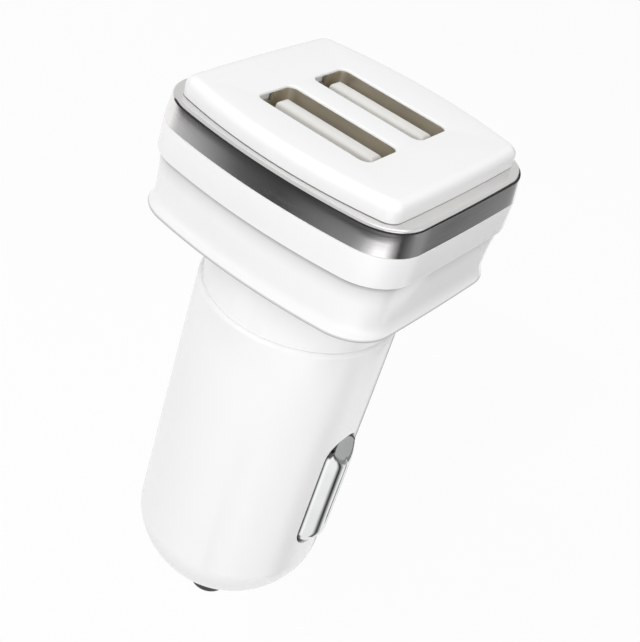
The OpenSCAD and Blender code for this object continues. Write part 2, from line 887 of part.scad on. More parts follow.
barrel();
head_base();
collar_band();
trim_ring();
face_plate();
tip_contact();
tip_spring();
spring_seat();
side_contact_right();
side_contact_left();
side_spring_right();
side_spring_left();
port_board();
main_board();
board_link();
usb_shell_front();
usb_shell_rear();
usb_insulator_front();
usb_insulator_rear();
usb_pins_front();
usb_pins_rear();
inductor_core();
inductor_coil();
input_capacitor();
output_capacitor();
regulator_chip();
charge_chip();
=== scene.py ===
"""Dresses the two-port car charger plug for its picture.

Every size is in millimetres in the settings and in metres in the scene. The frame's
+Z runs out of the vehicle socket through the head, and X runs along the ports.
"""

import math

import bmesh
import bpy
from bpy.props import FloatProperty, FloatVectorProperty, IntProperty, PointerProperty
from bpy.types import Operator, Panel, PropertyGroup
from mathutils import Matrix, Vector


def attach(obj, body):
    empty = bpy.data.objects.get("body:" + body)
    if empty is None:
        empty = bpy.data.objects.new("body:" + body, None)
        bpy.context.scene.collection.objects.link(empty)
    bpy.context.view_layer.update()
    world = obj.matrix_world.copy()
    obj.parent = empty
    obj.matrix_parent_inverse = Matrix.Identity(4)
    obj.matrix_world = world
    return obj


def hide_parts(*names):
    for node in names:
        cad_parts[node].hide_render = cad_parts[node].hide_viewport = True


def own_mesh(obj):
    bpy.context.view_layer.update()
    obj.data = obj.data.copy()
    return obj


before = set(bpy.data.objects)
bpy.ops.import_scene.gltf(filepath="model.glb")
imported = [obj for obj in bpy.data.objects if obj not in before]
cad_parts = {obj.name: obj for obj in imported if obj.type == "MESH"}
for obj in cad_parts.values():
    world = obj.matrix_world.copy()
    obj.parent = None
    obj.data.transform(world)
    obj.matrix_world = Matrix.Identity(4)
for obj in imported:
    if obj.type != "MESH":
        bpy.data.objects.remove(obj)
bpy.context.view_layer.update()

bl_info = {
    "name": "Car Charger Plug",
    "version": (1, 0, 0),
    "blender": (4, 5, 0),
    "location": "View3D > Sidebar > Charger",
    "description": "Builds the dressed pieces of a two-port car charger plug on its packed frame",
    "category": "Add Mesh",
}

MM = 0.001
FIT = 0.05  # clearance between pieces that fit, in millimetres
TIP_FLANGE = 1.0  # thickness of the tip's flange, in millimetres
END_FLAT = 0.1  # half width of the flat at a round end, in millimetres


def size_of(name, default, text):
    return FloatProperty(name=name, description=text, default=default, unit="NONE", precision=3)


def colour_of(name, default, text):
    return FloatVectorProperty(
        name=name, description=text, default=default, size=3, min=0.0, max=1.0, subtype="COLOR"
    )


def vector_of(name, default, subtype, text):
    return FloatVectorProperty(
        name=name, description=text, default=default, size=3, subtype=subtype
    )


class BarrelSizes(PropertyGroup):
    """Sizes of the barrel and the neck, in millimetres"""

    radius: size_of("Radius", 10.35, "Radius of the guiding land")
    land: size_of("Land", 9.0, "Length of the guiding land below the rim")
    foot_radius: size_of("Foot radius", 10.25, "Radius at the foot of the draft")
    nose_top: size_of("Nose top", 30.5, "Depth at which the nose begins to round")
    nose_end: size_of("Nose end", 38.9, "Depth of the flat at the end of the nose")
    nose_flat: size_of("Nose flat", 3.4, "Radius of the flat at the end of the nose")
    nose_power: size_of("Nose fullness", 1.75, "Power of the nose curve, 2 for an ellipse")
    wall: size_of("Wall", 1.5, "Wall of the barrel")
    rim_round: size_of("Rim rounding", 0.4, "Radius on the rim's outer edge")
    neck_radius: size_of("Neck radius", 9.95, "Radius of the neck above the rim")
    spigot_radius: size_of("Spigot radius", 9.1, "Radius of the neck inside the barrel")
    neck_wall: size_of("Neck wall", 1.3, "Wall of the neck")
    neck_in: size_of("Neck depth", 6.0, "Depth to which the neck is let into the barrel")
    segments: IntProperty(
        name="Segments", description="Steps round the axis", default=144, min=24, max=360
    )


class HeadSizes(PropertyGroup):
    """Sizes of the head's tiers, trim ring and face plate, in millimetres"""

    half_length: size_of("Half length", 14.15, "Half length along the ports")
    half_depth: size_of("Half depth", 13.35, "Half depth across the ports")
    bow_x: size_of("Short side bow", 0.25, "Bow of the short sides")
    bow_y: size_of("Long side bow", 1.7, "Bow of the long sides")
    corner: size_of("Corner", 5.0, "Radius of the corners")
    foot: size_of("Foot", 7.1, "Height of the head's underside")
    skirt: size_of("Lower tier", 5.9, "Height of the lower tier")
    band: size_of("Upper tier", 3.2, "Height of the upper tier")
    ring: size_of("Trim ring", 2.6, "Height of the trim ring")
    rise: size_of("Face rise", 1.9, "Height of the face plate above the ring")
    floor: size_of("Floor", 1.2, "Thickness of the head's floor")
    wall: size_of("Wall", 1.5, "Wall of the tiers")
    step: size_of("Step", 0.3, "Inset of the lower tier under the step")
    waist: size_of("Waist", 0.62, "Inset of the lower tier above its lip")
    lip: size_of("Lip", 0.2, "Inset of the lip's edge")
    lip_height: size_of("Lip height", 1.0, "Height of the lip")
    ring_draft: size_of("Ring draft", 0.33, "Inward draft of the ring's side")
    ring_round: size_of("Ring rounding", 0.4, "Radius on the ring's top edge")
    ring_wall: size_of("Ring wall", 1.1, "Wall of the ring's side")
    ring_top: size_of("Ring flange", 0.9, "Thickness of the ring's top flange")
    shelf: size_of("Shelf", 1.2, "Thickness of the upper tier's shelf")
    face_half_length: size_of("Face half length", 12.25, "Half length of the face plate")
    face_half_depth: size_of("Face half depth", 12.1, "Half depth of the face plate")
    face_corner: size_of("Face corner", 1.5, "Radius of the face plate's corners")
    face_round: size_of("Face rounding", 1.0, "Radius on the face plate's top edge")
    face_skin: size_of("Face skin", 1.5, "Thickness of the face plate")


class PortSizes(PropertyGroup):
    """Sizes of the two ports, in millimetres"""

    length: size_of("Length", 12.5, "Length of a port's opening")
    width: size_of("Width", 5.12, "Width of a port's opening")
    corner: size_of("Corner", 0.85, "Radius of an opening's corners")
    pitch: size_of("Pitch", 8.2, "Distance between the ports")
    shift: size_of("Shift", 0.5, "Offset of the pair of ports towards the front")
    mouth: size_of("Mouth", 0.3, "Depth of the metal shell below the face")
    sheet: size_of("Sheet", 0.3, "Thickness of the metal shell")
    tongue_length: size_of("Tongue width", 11.1, "Width of the tongue")
    tongue_depth: size_of("Tongue thickness", 1.6, "Thickness of the tongue")
    tongue_gap: size_of("Tongue gap", 1.25, "Gap between the tongue and the port's rear wall")
    tongue_below: size_of("Tongue depth", 0.7, "Depth of the tongue's end below the face")
    base: size_of("Base", 9.3, "Height at which a receptacle stands on its board")
    base_thick: size_of("Base thickness", 1.2, "Thickness of the receptacle's moulded base")
    lead_in: size_of("Lead-in", 0.2, "Rounding of the opening's edge")


class ContactSizes(PropertyGroup):
    """Sizes of the sprung contacts, in millimetres"""

    side_width: size_of("Side width", 4.6, "Width of a side contact")
    side_length: size_of("Side length", 15.0, "Length of a side contact")
    side_top: size_of("Side top", 11.9, "Depth at which a side contact begins")
    side_out: size_of("Side stand-out", 1.05, "Height of the ridge over the barrel")
    side_slope: size_of("Side slope", 2.8, "Length of the sloped end")
    side_sheet: size_of("Side sheet", 0.5, "Sheet thickness of a side contact")
    side_travel: size_of("Side travel", 1.3, "Travel of a side contact")
    tip_radius: size_of("Tip radius", 2.2, "Radius of the tip contact")
    tip_out: size_of("Tip stand-out", 4.4, "Height of the tip over the nose")
    tip_travel: size_of("Tip travel", 2.2, "Travel of the tip contact")
    wire: size_of("Wire", 0.45, "Wire of the tip's spring")
    coil_radius: size_of("Coil radius", 2.3, "Mean radius of the tip's spring")
    coil_top: size_of("Coil top", -29.4, "Height of the spring's upper end")


class FinishColours(PropertyGroup):
    """Colours of the finishes"""

    shell: colour_of("Shell", (0.9, 0.903, 0.9), "White of the moulded shell")
    ring: colour_of("Ring", (0.86, 0.85, 0.845), "Satin metal of the trim ring")
    contact: colour_of("Side contact", (0.82, 0.83, 0.83), "Bright plating of the side contacts")
    tip: colour_of("Tip", (0.07, 0.07, 0.072), "Dark plating of the tip")
    port: colour_of("Port metal", (0.5, 0.445, 0.35), "Metal inside the ports")
    tongue: colour_of("Tongue", (0.75, 0.742, 0.722), "Moulding of the tongues")
    floor: colour_of("Floor", (0.62, 0.62, 0.62), "Floor under the plug")


class StageSettings(PropertyGroup):
    """Camera, lamps and floor"""

    eye: vector_of("Eye", (49.43 * MM, -91.12 * MM, 68.60 * MM), "TRANSLATION", "Camera's place")
    back: vector_of("Back", (0.3735, -0.7355, 0.5653), "DIRECTION", "Direction to the camera")
    up: vector_of("Up", (-0.5270, 0.3333, 0.7818), "DIRECTION", "Direction upright in the picture")
    lens: size_of("Lens", 69.88, "Focal length on a 36 mm sensor")
    drop: size_of("Drop", 26.0, "Distance from the tip to the floor, in millimetres")


GROUPS = (
    ("charger_barrel", BarrelSizes),
    ("charger_head", HeadSizes),
    ("charger_ports", PortSizes),
    ("charger_contacts", ContactSizes),
    ("charger_colours", FinishColours),
    ("charger_stage", StageSettings),
)


# Outlines: every outline of one kind has the same number of points, so that a
# section can be carried round it from inset to inset.


def arc(cx, cy, radius, start, end, steps, last=False):
    """Points on an arc from start to end in degrees, without its end unless last."""
    count = steps + 1 if last else steps
    angles = [math.radians(start + (end - start) * i / steps) for i in range(count)]
    return [(cx + radius * math.cos(a), cy + radius * math.sin(a)) for a in angles]


def quarter_turn(steps):
    """Pairs of 1 - cosine and sine in equal steps over a quarter turn."""
    angles = [math.radians(90 / steps * k) for k in range(steps + 1)]
    return [(1 - math.cos(a), math.sin(a)) for a in angles]


def bowed_outline(half_a, half_b, bow_x, bow_y, corner, inset, steps=(8, 14, 10)):
    """Rectangle with bowed sides and round corners, drawn in by inset."""
    rx = (half_b**2 + bow_x**2) / (2 * bow_x)
    ry = (half_a**2 + bow_y**2) / (2 * bow_y)
    cx, cy = half_a - rx, half_b - ry
    gap = math.hypot(cx, cy)
    ux, uy = -cx / gap, cy / gap
    along = ((rx - corner) ** 2 - (ry - corner) ** 2 + gap**2) / (2 * gap)
    off = math.sqrt((rx - corner) ** 2 - along**2)
    px, py = cx + along * ux - off * uy, along * uy + off * ux
    start = math.degrees(math.atan2(py, px - cx))
    end = math.degrees(math.atan2(py - cy, px))
    quarter = arc(cx, 0, rx - inset, 0, start, steps[0])
    quarter += arc(px, py, corner - inset, start, end, steps[1])
    quarter += arc(0, cy, ry - inset, end, 90, steps[2], last=True)
    half = quarter + [(-x, y) for x, y in quarter[-2:0:-1]]
    return half + [(-x, -y) for x, y in half]


def rounded_outline(length, width, corner, steps=8):
    """Rectangle with round corners, its length along X."""
    x, y = length / 2 - corner, width / 2 - corner
    points = arc(x, y, corner, 0, 90, steps, last=True)
    points += arc(-x, y, corner, 90, 180, steps, last=True)
    points += arc(-x, -y, corner, 180, 270, steps, last=True)
    return points + arc(x, -y, corner, 270, 360, steps, last=True)


def slot_outline(length, width, corner, steps, along):
    """Rounded outline with extra points along its two long sides."""
    outline = rounded_outline(length, width, corner, steps)
    made = []
    for i, (x, y) in enumerate(outline):
        made.append((x, y))
        if i in (steps, 3 * steps + 2):
            end = outline[i + 1][0]
            made += [(x + (end - x) * k / along, y) for k in range(1, along)]
    return made


def towards(outline, radius):
    """Circle with one point in the direction of each point of an outline."""
    return [(radius * x / math.hypot(x, y), radius * y / math.hypot(x, y)) for x, y in outline]


def soften(points, radii, steps=5, closed=True):
    """Rounds the corners of a section; radii holds one radius for each corner."""
    made = []
    count = len(points)
    for i, (here, radius) in enumerate(zip(points, radii)):
        here = Vector(here)
        if radius <= 0 or (not closed and i in (0, count - 1)):
            made.append(tuple(here))
            continue
        before = (Vector(points[i - 1]) - here).normalized()
        after = (Vector(points[(i + 1) % count]) - here).normalized()
        half = before.angle(after) / 2
        reach = radius / math.tan(half)
        centre = here + (before + after).normalized() * (radius / math.sin(half))
        first, final = here + before * reach - centre, here + after * reach - centre
        turn = first.angle_signed(final)
        for k in range(steps + 1):
            spoke = first.copy()
            spoke.rotate(Matrix.Rotation(-turn * k / steps, 2))
            made.append(tuple(centre + spoke))
    return made


# Mesh makers: each returns a bmesh in metres.


def sweep(levels, closed=False, caps=True):
    """Skin through levels, each a list of points at one stage of the section."""
    bm = bmesh.new()
    rows = [[bm.verts.new(Vector(p) * MM) for p in level] for level in levels]
    pairs = list(zip(rows, rows[1:]))
    if closed:
        pairs.append((rows[-1], rows[0]))
    for low, high in pairs:
        for i in range(len(low)):
            j = (i + 1) % len(low)
            bm.faces.new((low[i], low[j], high[j], high[i]))
    if caps and not closed:
        bm.faces.new(list(reversed(rows[0])))
        bm.faces.new(rows[-1])
    bmesh.ops.recalc_face_normals(bm, faces=bm.faces)
    return bm


def raised(outline, z):
    return [(x, y, z) for x, y in outline]


def lathe(section, segments, closed=True):
    """Section of (radius, height) points turned round Z; points on the axis are joined."""
    levels = []
    for radius, z in section:
        ring = [2 * math.pi * i / segments for i in range(segments)]
        levels.append([(radius * math.cos(a), radius * math.sin(a), z) for a in ring])
    bm = sweep(levels, closed=closed, caps=False)
    bmesh.ops.remove_doubles(bm, verts=bm.verts, dist=1e-7)
    bmesh.ops.dissolve_degenerate(bm, edges=bm.edges, dist=1e-8)
    bmesh.ops.recalc_face_normals(bm, faces=bm.faces)
    return bm


def block(low, high):
    """Box between two corners, in millimetres."""
    bm = bmesh.new()
    bmesh.ops.create_cube(bm, size=1)
    for v in bm.verts:
        v.co = Vector([(a + (b - a) * (c + 0.5)) * MM for a, b, c in zip(low, high, v.co)])
    return bm


def bar(section, width):
    """Section of (x, z) points drawn out along Y to a width about its middle."""
    back = [(x, width / 2, z) for x, z in section]
    front = [(x, -width / 2, z) for x, z in section]
    return sweep([front, back])


def turned(bm, degrees):
    bmesh.ops.rotate(bm, verts=bm.verts, matrix=Matrix.Rotation(math.radians(degrees), 3, "Z"))
    return bm


def moved(bm, x=0.0, y=0.0, z=0.0):
    bmesh.ops.translate(bm, verts=bm.verts, vec=Vector((x, y, z)) * MM)
    return bm


def scratch(name, bm):
    mesh = bpy.data.meshes.new(name)
    bm.to_mesh(mesh)
    bm.free()
    made = bpy.data.objects.new(name, mesh)
    bpy.context.scene.collection.objects.link(made)
    return made


def carve(target, tools, operation="DIFFERENCE"):
    """Applies one boolean after another to target and removes the tools."""
    for tool in tools:
        cutter = scratch("cutter", tool)
        step = target.modifiers.new("carve", "BOOLEAN")
        step.operation = operation
        step.solver = "EXACT"
        step.object = cutter
        graph = bpy.context.evaluated_depsgraph_get()
        mesh = bpy.data.meshes.new_from_object(target.evaluated_get(graph))
        target.modifiers.clear()
        old = target.data
        target.data = mesh
        bpy.data.meshes.remove(old)
        bpy.data.objects.remove(cutter)
    if not target.data.polygons:
        raise RuntimeError(f"{target.name} has no faces left")
    return target


PAINTED_SHADE = "joint_shade"  # mark on the meshes for painted shade: darkening painted into the colour at joints, recesses and moulded edges, where shade falls


def painted_shade_marks(piece, depth_at):
    """Marks how much painted shade, standing in for the shade at joints and moulded edges, each
    point gets.
    """
    shade = piece.data.attributes.new(PAINTED_SHADE, "FLOAT", "POINT")
    for vertex, mark in zip(piece.data.vertices, shade.data):
        mark.value = depth_at(*(vertex.co / MM))


def painted_shade_bands(bands):
    """Painted shade by height, from bands of (low, high, depth)."""
    return lambda x, y, z: max((d for low, high, d in bands if low <= z <= high), default=0.0)


# Finishes


class Nodes:
    """A node tree with a short call for adding and joining its nodes."""

    def __init__(self, tree):
        self.tree = tree

    def add(self, kind, inputs=None, **values):
        """New node, each input given a value or another node's output."""
        node = self.tree.nodes.new(kind)
        for key, value in values.items():
            setattr(node, key, value)
        for key, value in (inputs or {}).items():
            if isinstance(value, bpy.types.NodeSocket):
                self.tree.links.new(value, node.inputs[key])
            else:
                node.inputs[key].default_value = value
        return node


class Finish(Nodes):
    """A material whose patterns drive its colour, roughness and relief."""

    def __init__(self, name, colour, metallic=0.0):
        self.material = bpy.data.materials.new(name)
        self.material.use_nodes = True
        super().__init__(self.material.node_tree)
        self.shader = self.tree.nodes["Principled BSDF"]
        self.shader.inputs["Base Color"].default_value = (*colour, 1)
        self.shader.inputs["Metallic"].default_value = metallic
        self.place = self.add("ShaderNodeTexCoord").outputs["Object"]
        self.relief = None

    def drive(self, name, source):
        self.tree.links.new(source, self.shader.inputs[name])

    def surface(self, node):
        """Shows another shader in place of the first."""
        out = self.tree.nodes["Material Output"]
        self.tree.links.new(node.outputs[0], out.inputs["Surface"])

    def noise(self, scale, detail, stretch=None):
        """Noise over the object, stretched for brushed or drawn surfaces."""
        place = self.place
        if stretch:
            inputs = {"Vector": place, "Scale": stretch}
            place = self.add("ShaderNodeMapping", inputs).outputs["Vector"]
        inputs = {"Vector": place, "Scale": scale, "Detail": detail}
        return self.add("ShaderNodeTexNoise", inputs).outputs["Fac"]

    def bands(self, direction, scale, distortion=0.0):
        """Straight bands across a direction."""
        inputs = {"Vector": self.place, "Scale": scale, "Distortion": distortion}
        values = {"wave_type": "BANDS", "bands_direction": direction}
        return self.add("ShaderNodeTexWave", inputs, **values).outputs["Fac"]

    def worn(self):
        """Factor that is high on outer edges."""
        return self.add("ShaderNodeNewGeometry").outputs["Pointiness"]

    def ranged(self, source, low, high, start=0.0, end=1.0):
        """Factor that goes from low to high while the source goes from start to end."""
        limits = {"From Min": start, "From Max": end, "To Min": low, "To Max": high}
        return self.add("ShaderNodeMapRange", {"Value": source, **limits}).outputs["Result"]

    def rough(self, source, low, high):
        self.drive("Roughness", self.ranged(source, low, high, 0.35, 0.65))

    def tint(self, source, low, high, start=0.3, end=0.7):
        """Varies the base colour between two factors of itself."""
        colour = self.shader.inputs["Base Color"].default_value[:3]
        one, two = ((*(min(1.0, c * factor) for c in colour), 1) for factor in (low, high))
        inputs = {0: self.ranged(source, 0, 1, start, end), 6: one, 7: two}
        self.drive("Base Color", self.add("ShaderNodeMix", inputs, data_type="RGBA").outputs[2])

    def shade(self, factor):
        """Paints shade: darkens the base colour by a factor where the mesh is marked."""
        mark = self.add("ShaderNodeAttribute", attribute_name=PAINTED_SHADE).outputs["Fac"]
        base = self.shader.inputs["Base Color"].links[0].from_socket
        inputs = {0: self.ranged(mark, 0, 1), 6: base, 7: (factor, factor, factor, 1)}
        values = {"data_type": "RGBA", "blend_type": "MULTIPLY"}
        self.drive("Base Color", self.add("ShaderNodeMix", inputs, **values).outputs[2])

    def bump(self, source, strength, depth):
        """Relief of a depth in millimetres, on top of what is there."""
        inputs = {"Height": source, "Strength": strength, "Distance": depth * MM}
        if self.relief:
            inputs["Normal"] = self.relief
        self.relief = self.add("ShaderNodeBump", inputs).outputs["Normal"]
        self.drive("Normal", self.relief)


def gloss_shell(made):
    made.shader.inputs["IOR"].default_value = 1.49
    made.shader.inputs["Coat Weight"].default_value = 0.25
    made.shader.inputs["Coat Roughness"].default_value = 0.08
    made.rough(made.noise(90, 3), 0.17, 0.27)
    made.tint(made.worn(), 0.985, 1.02, 0.45, 0.6)
    # painted shade: darker colour in the joints, under the step and along the lip's edge
    made.shade(0.38)
    made.bump(made.noise(900, 2), 0.05, 0.02)
    made.bump(made.noise(5200, 2), 0.06, 0.006)


def satin_ring(made):
    lines = made.noise(160, 6, (1, 1, 40))
    made.rough(lines, 0.12, 0.19)
    made.tint(made.worn(), 1, 1.12, 0.52, 0.62)
    made.bump(lines, 0.03, 0.01)
    made.bump(made.noise(3800, 2), 0.05, 0.004)


def bright_contact(made):
    drawn = made.noise(260, 5, (14, 14, 1))
    made.rough(drawn, 0.08, 0.18)
    made.tint(made.noise(240, 3), 0.94, 1.04)
    # painted shade: a dark rim along the contact's outline, where it meets its window
    made.shade(0.12)
    made.bump(drawn, 0.06, 0.008)


def dark_tip(made):
    rings = made.noise(420, 5, (1, 1, 14))
    made.rough(rings, 0.12, 0.26)
    made.tint(made.worn(), 1, 3.5, 0.53, 0.66)
    made.bump(rings, 0.08, 0.008)


def folded_sheet(made):
    rolled = made.noise(420, 5, (1, 1, 10))
    made.rough(rolled, 0.34, 0.5)
    made.tint(made.noise(150, 3), 0.86, 1.12)
    made.bump(rolled, 0.14, 0.012)


def pale_tongue(made):
    made.rough(made.noise(500, 4), 0.36, 0.5)
    made.tint(made.noise(200, 3), 0.97, 1.03)
    made.bump(made.noise(3200, 3), 0.14, 0.01)


def gilt_pin(made):
    drawn = made.noise(500, 4, (8, 8, 1))
    made.rough(drawn, 0.18, 0.34)
    made.tint(made.noise(600, 2), 0.9, 1.08)
    made.bump(drawn, 0.08, 0.006)


def drawn_steel(made):
    drawn = made.noise(700, 5)
    made.rough(drawn, 0.22, 0.4)
    made.tint(drawn, 0.85, 1.1)
    made.bump(drawn, 0.1, 0.008)


def board_laminate(made):
    weave = made.bands("DIAGONAL", 900, 1.5)
    made.rough(made.noise(700, 4), 0.28, 0.44)
    made.tint(weave, 0.88, 1.08, 0, 1)
    made.bump(weave, 0.08, 0.006)


def matt_moulding(made):
    grain = made.noise(2600, 4)
    made.rough(grain, 0.48, 0.66)
    made.tint(made.noise(300, 3), 0.85, 1.2)
    made.bump(grain, 0.2, 0.012)


def wound_wire(made):
    turns = made.bands("X", 900)
    made.rough(made.noise(800, 3), 0.22, 0.38)
    made.tint(turns, 0.7, 1.1, 0, 1)
    made.bump(turns, 0.4, 0.03)


# Recipe, name of the material, metallic, and the colour where no setting holds it
RECIPES = {
    "shell": (gloss_shell, "gloss_white_shell", 0.0, None),
    "ring": (satin_ring, "satin_dark_ring", 1.0, None),
    "contact": (bright_contact, "bright_side_contact", 1.0, None),
    "tip": (dark_tip, "dark_polished_tip", 1.0, None),
    "port": (folded_sheet, "folded_port_sheet", 0.85, None),
    "tongue": (pale_tongue, "pale_tongue_moulding", 0.0, None),
    "pin": (gilt_pin, "gilt_pins", 1.0, (0.83, 0.62, 0.28)),
    "spring": (drawn_steel, "drawn_spring_steel", 1.0, (0.5, 0.5, 0.5)),
    "board": (board_laminate, "green_board_laminate", 0.0, (0.02, 0.13, 0.045)),
    "black": (matt_moulding, "black_chip_moulding", 0.0, (0.022, 0.022, 0.024)),
    "ferrite": (matt_moulding, "dark_ferrite", 0.0, (0.045, 0.045, 0.048)),
    "winding": (wound_wire, "enamelled_winding", 0.9, (0.6, 0.24, 0.08)),
    "can": (drawn_steel, "drawn_can", 1.0, (0.72, 0.73, 0.75)),
}

FINISHES = {}


def finished(piece, finish, node, body="housing", crease=32.0):
    """Smooths a piece, gives it its finish and puts it in the place of its node."""
    mesh = piece.data
    mesh.materials.clear()
    mesh.materials.append(FINISHES[finish])
    for face in mesh.polygons:
        face.use_smooth = True
        face.material_index = 0
    mesh.set_sharp_from_angle(angle=math.radians(crease))
    mesh.update()
    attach(piece, body)
    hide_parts(node)


# Shapes and sizes that several pieces share


def heights(head):
    """Heights of the head's joints, by name."""
    step = head.foot + head.skirt
    ring = step + head.band
    top = ring + head.ring
    floor, face = head.foot + head.floor, top + head.rise
    return {"floor": floor, "step": step, "ring": ring, "top": top, "face": face}


def head_outline(head, inset):
    size = (head.half_length, head.half_depth, head.bow_x, head.bow_y, head.corner)
    return bowed_outline(*size, inset)


def head_levels(head, section):
    """Levels of the head's outline, from (inset, height) points."""
    return [raised(head_outline(head, inset), z) for inset, z in section]


def face_levels(head, section):
    """Levels of the face plate's outline, from (inset, height) points."""
    half = (head.face_half_length, head.face_half_depth)
    size = (*half, head.bow_x, head.bow_y, head.face_corner)
    return [raised(bowed_outline(*size, inset), z) for inset, z in section]


def round_levels(guide, section):
    """Circles with a point towards each of the guide's, from (radius, height) points."""
    return [raised(towards(guide, radius), z) for radius, z in section]


def port_outline(ports, grow, steps=8):
    """Outline of a port's opening, grown all round."""
    size = (ports.length + 2 * grow, ports.width + 2 * grow)
    return rounded_outline(*size, ports.corner + grow, steps)


def port_places(ports):
    middle, half = -ports.shift, ports.pitch / 2
    return {"front": middle - half, "rear": middle + half}


def contact_middle(side):
    """Height of the middle of a side contact."""
    return -side.side_top - side.side_length / 2


def contact_depth(side, y, z):
    """Distance of a point in a side contact's round-ended outline from that outline."""
    beyond = max(0.0, abs(z - contact_middle(side)) - (side.side_length - side.side_width) / 2)
    return side.side_width / 2 - math.hypot(y, beyond)


def contact_arc(side, barrel):
    """Reach of a side contact's ridge and of its edge, and the radius between them."""
    ridge = barrel.radius + side.side_out
    edge = math.sqrt(barrel.foot_radius**2 - side.side_width**2 / 4) - FIT
    sag = ridge - edge
    return ridge, edge, (side.side_width**2 / 4 + sag**2) / (2 * sag)


def nose_seat(barrel):
    """Height of the nose's inner face, on which the tip's flange rests."""
    return -barrel.nose_end + 2.0


class CHARGER_OT_finishes(Operator):
    """Makes the finishes and gives them to the parts that keep their solid form"""

    bl_idname = "charger.finishes"
    bl_label = "Finishes"

    kept = {
        "pin": ("spring_seat", "usb_pins_front", "usb_pins_rear"),
        "board": ("port_board", "main_board"),
        "black": ("board_link", "regulator_chip", "charge_chip"),
        "ferrite": ("inductor_core",),
        "winding": ("inductor_coil",),
        "can": ("input_capacitor", "output_capacitor"),
    }

    def execute(self, context):
        scene = context.scene
        for key, (recipe, name, metallic, colour) in RECIPES.items():
            made = Finish(name, colour or getattr(scene.charger_colours, key), metallic)
            recipe(made)
            FINISHES[key] = made.material
        for finish, nodes in self.kept.items():
            for node in nodes:
                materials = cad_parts[node].data.materials
                materials.clear()
                materials.append(FINISHES[finish])
        return {"FINISHED"}


class CHARGER_OT_barrel(Operator):
    """Turns the bullet-shaped barrel and cuts a window for each side contact"""

    bl_idname = "charger.barrel"
    bl_label = "Barrel"

    gap = 0.12  # between a side contact and its window
    edge = 0.15  # by which a window's rim widens at the skin
    rim = ((0.75, 0.0), (0.42, 0.0), (0.3, 0.03), (0.1, edge))  # depth and growth
    shade_past = 0.3  # by which the painted shade passes the outline of a side contact
    play = 0.08  # round the tip in its hole
    guide_gap, guide_wall = 1.45, 0.8  # from the tip to its flange's guide
    spare = 0.8  # room over the travel of the tip's flange
    floor = 1.5  # thickness of the floor round the guide
    rail_sides = (-1.65, 0.65)  # low X of the rails on either side of the board
    rail_spans = ((-9.3, -6.5), (6.5, 9.3))
    rail = 1.0  # thickness of a rail
    nose_steps, inner_steps = 26, 12

    def section(self, b, tip):
        """Closed section of the barrel, outside first."""
        seat = nose_seat(b)
        hole, guide = tip.tip_radius + self.play, tip.tip_radius + self.guide_gap
        guide_top = seat + TIP_FLANGE + tip.tip_travel + self.spare
        guide_out, floor = guide + self.guide_wall, seat + self.floor
        cut = (1 - (b.nose_flat / b.foot_radius) ** b.nose_power) ** (1 / b.nose_power)
        full = (b.nose_end - b.nose_top) / cut

        def nose(wall, t):
            """Point on the nose's curve, drawn in by a wall."""
            radius = (b.foot_radius - wall) * (1 - t**b.nose_power) ** (1 / b.nose_power)
            return radius, -b.nose_top - (full - wall) * t

        steps = self.nose_steps
        outer = [nose(0, cut * math.sin(math.pi / 2 * i / steps)) for i in range(steps + 1)]
        steps = self.inner_steps
        inner_cut = (-floor - b.nose_top) / (full - b.wall)
        inner = [nose(b.wall, inner_cut * i / steps) for i in range(steps, -1, -1)]
        socket, bore = b.spigot_radius + FIT, b.radius - b.wall
        rim = [(socket, b.rim_round), (b.radius, b.rim_round), (b.radius, -b.land)]
        mouth = [outer[-1], (hole, -b.nose_end), (hole, seat)]
        return (
            soften(rim, [0, b.rim_round, 0], steps=6, closed=False)
            + outer[:-1]
            + soften(mouth, [0, 0.2, 0], steps=4, closed=False)
            + [(guide, seat), (guide, guide_top), (guide_out, guide_top), (guide_out, floor)]
            + inner
            + [(bore, -b.land), (bore, -b.neck_in), (socket, -b.neck_in)]
        )

    def window(self, b, side):
        """Cutter for one window, widened at the barrel's skin to round the edge."""
        low, skin = contact_middle(side), b.foot_radius
        long, wide = side.side_length + 2 * self.gap, side.side_width + 2 * self.gap
        stops = [(4.0, 0.0)] + [(skin - deep, grow) for deep, grow in self.rim]
        stops.append((b.radius + 2.0, self.edge * 3))
        levels = []
        for x, grow in stops:
            corner = wide / 2 - END_FLAT + grow
            outline = rounded_outline(long + 2 * grow, wide + 2 * grow, corner, 12)
            levels.append([(x, v, low + u) for u, v in outline])
        return sweep(levels)

    def execute(self, context):
        scene = context.scene
        b, side = scene.charger_barrel, scene.charger_contacts
        barrel = scratch("barrel_shell", lathe(self.section(b, side), b.segments))
        carve(barrel, [self.window(b, side), turned(self.window(b, side), 180)])
        rails = [
            block((x, low, -b.nose_top), (x + self.rail, high, -b.neck_in - 1))
            for x in self.rail_sides
            for low, high in self.rail_spans
        ]
        carve(barrel, rails, "UNION")

        def painted_window_shade(x, y, z):
            """Full painted shade down the walls of the windows, none at the skin."""
            below_skin = math.hypot(x, y) < b.foot_radius - self.edge
            return float(below_skin and contact_depth(side, y, z) > -self.shade_past)

        # painted shade down the window walls, in the gap round each side contact
        painted_shade_marks(barrel, painted_window_shade)
        finished(barrel, "shell", "barrel")
        return {"FINISHED"}


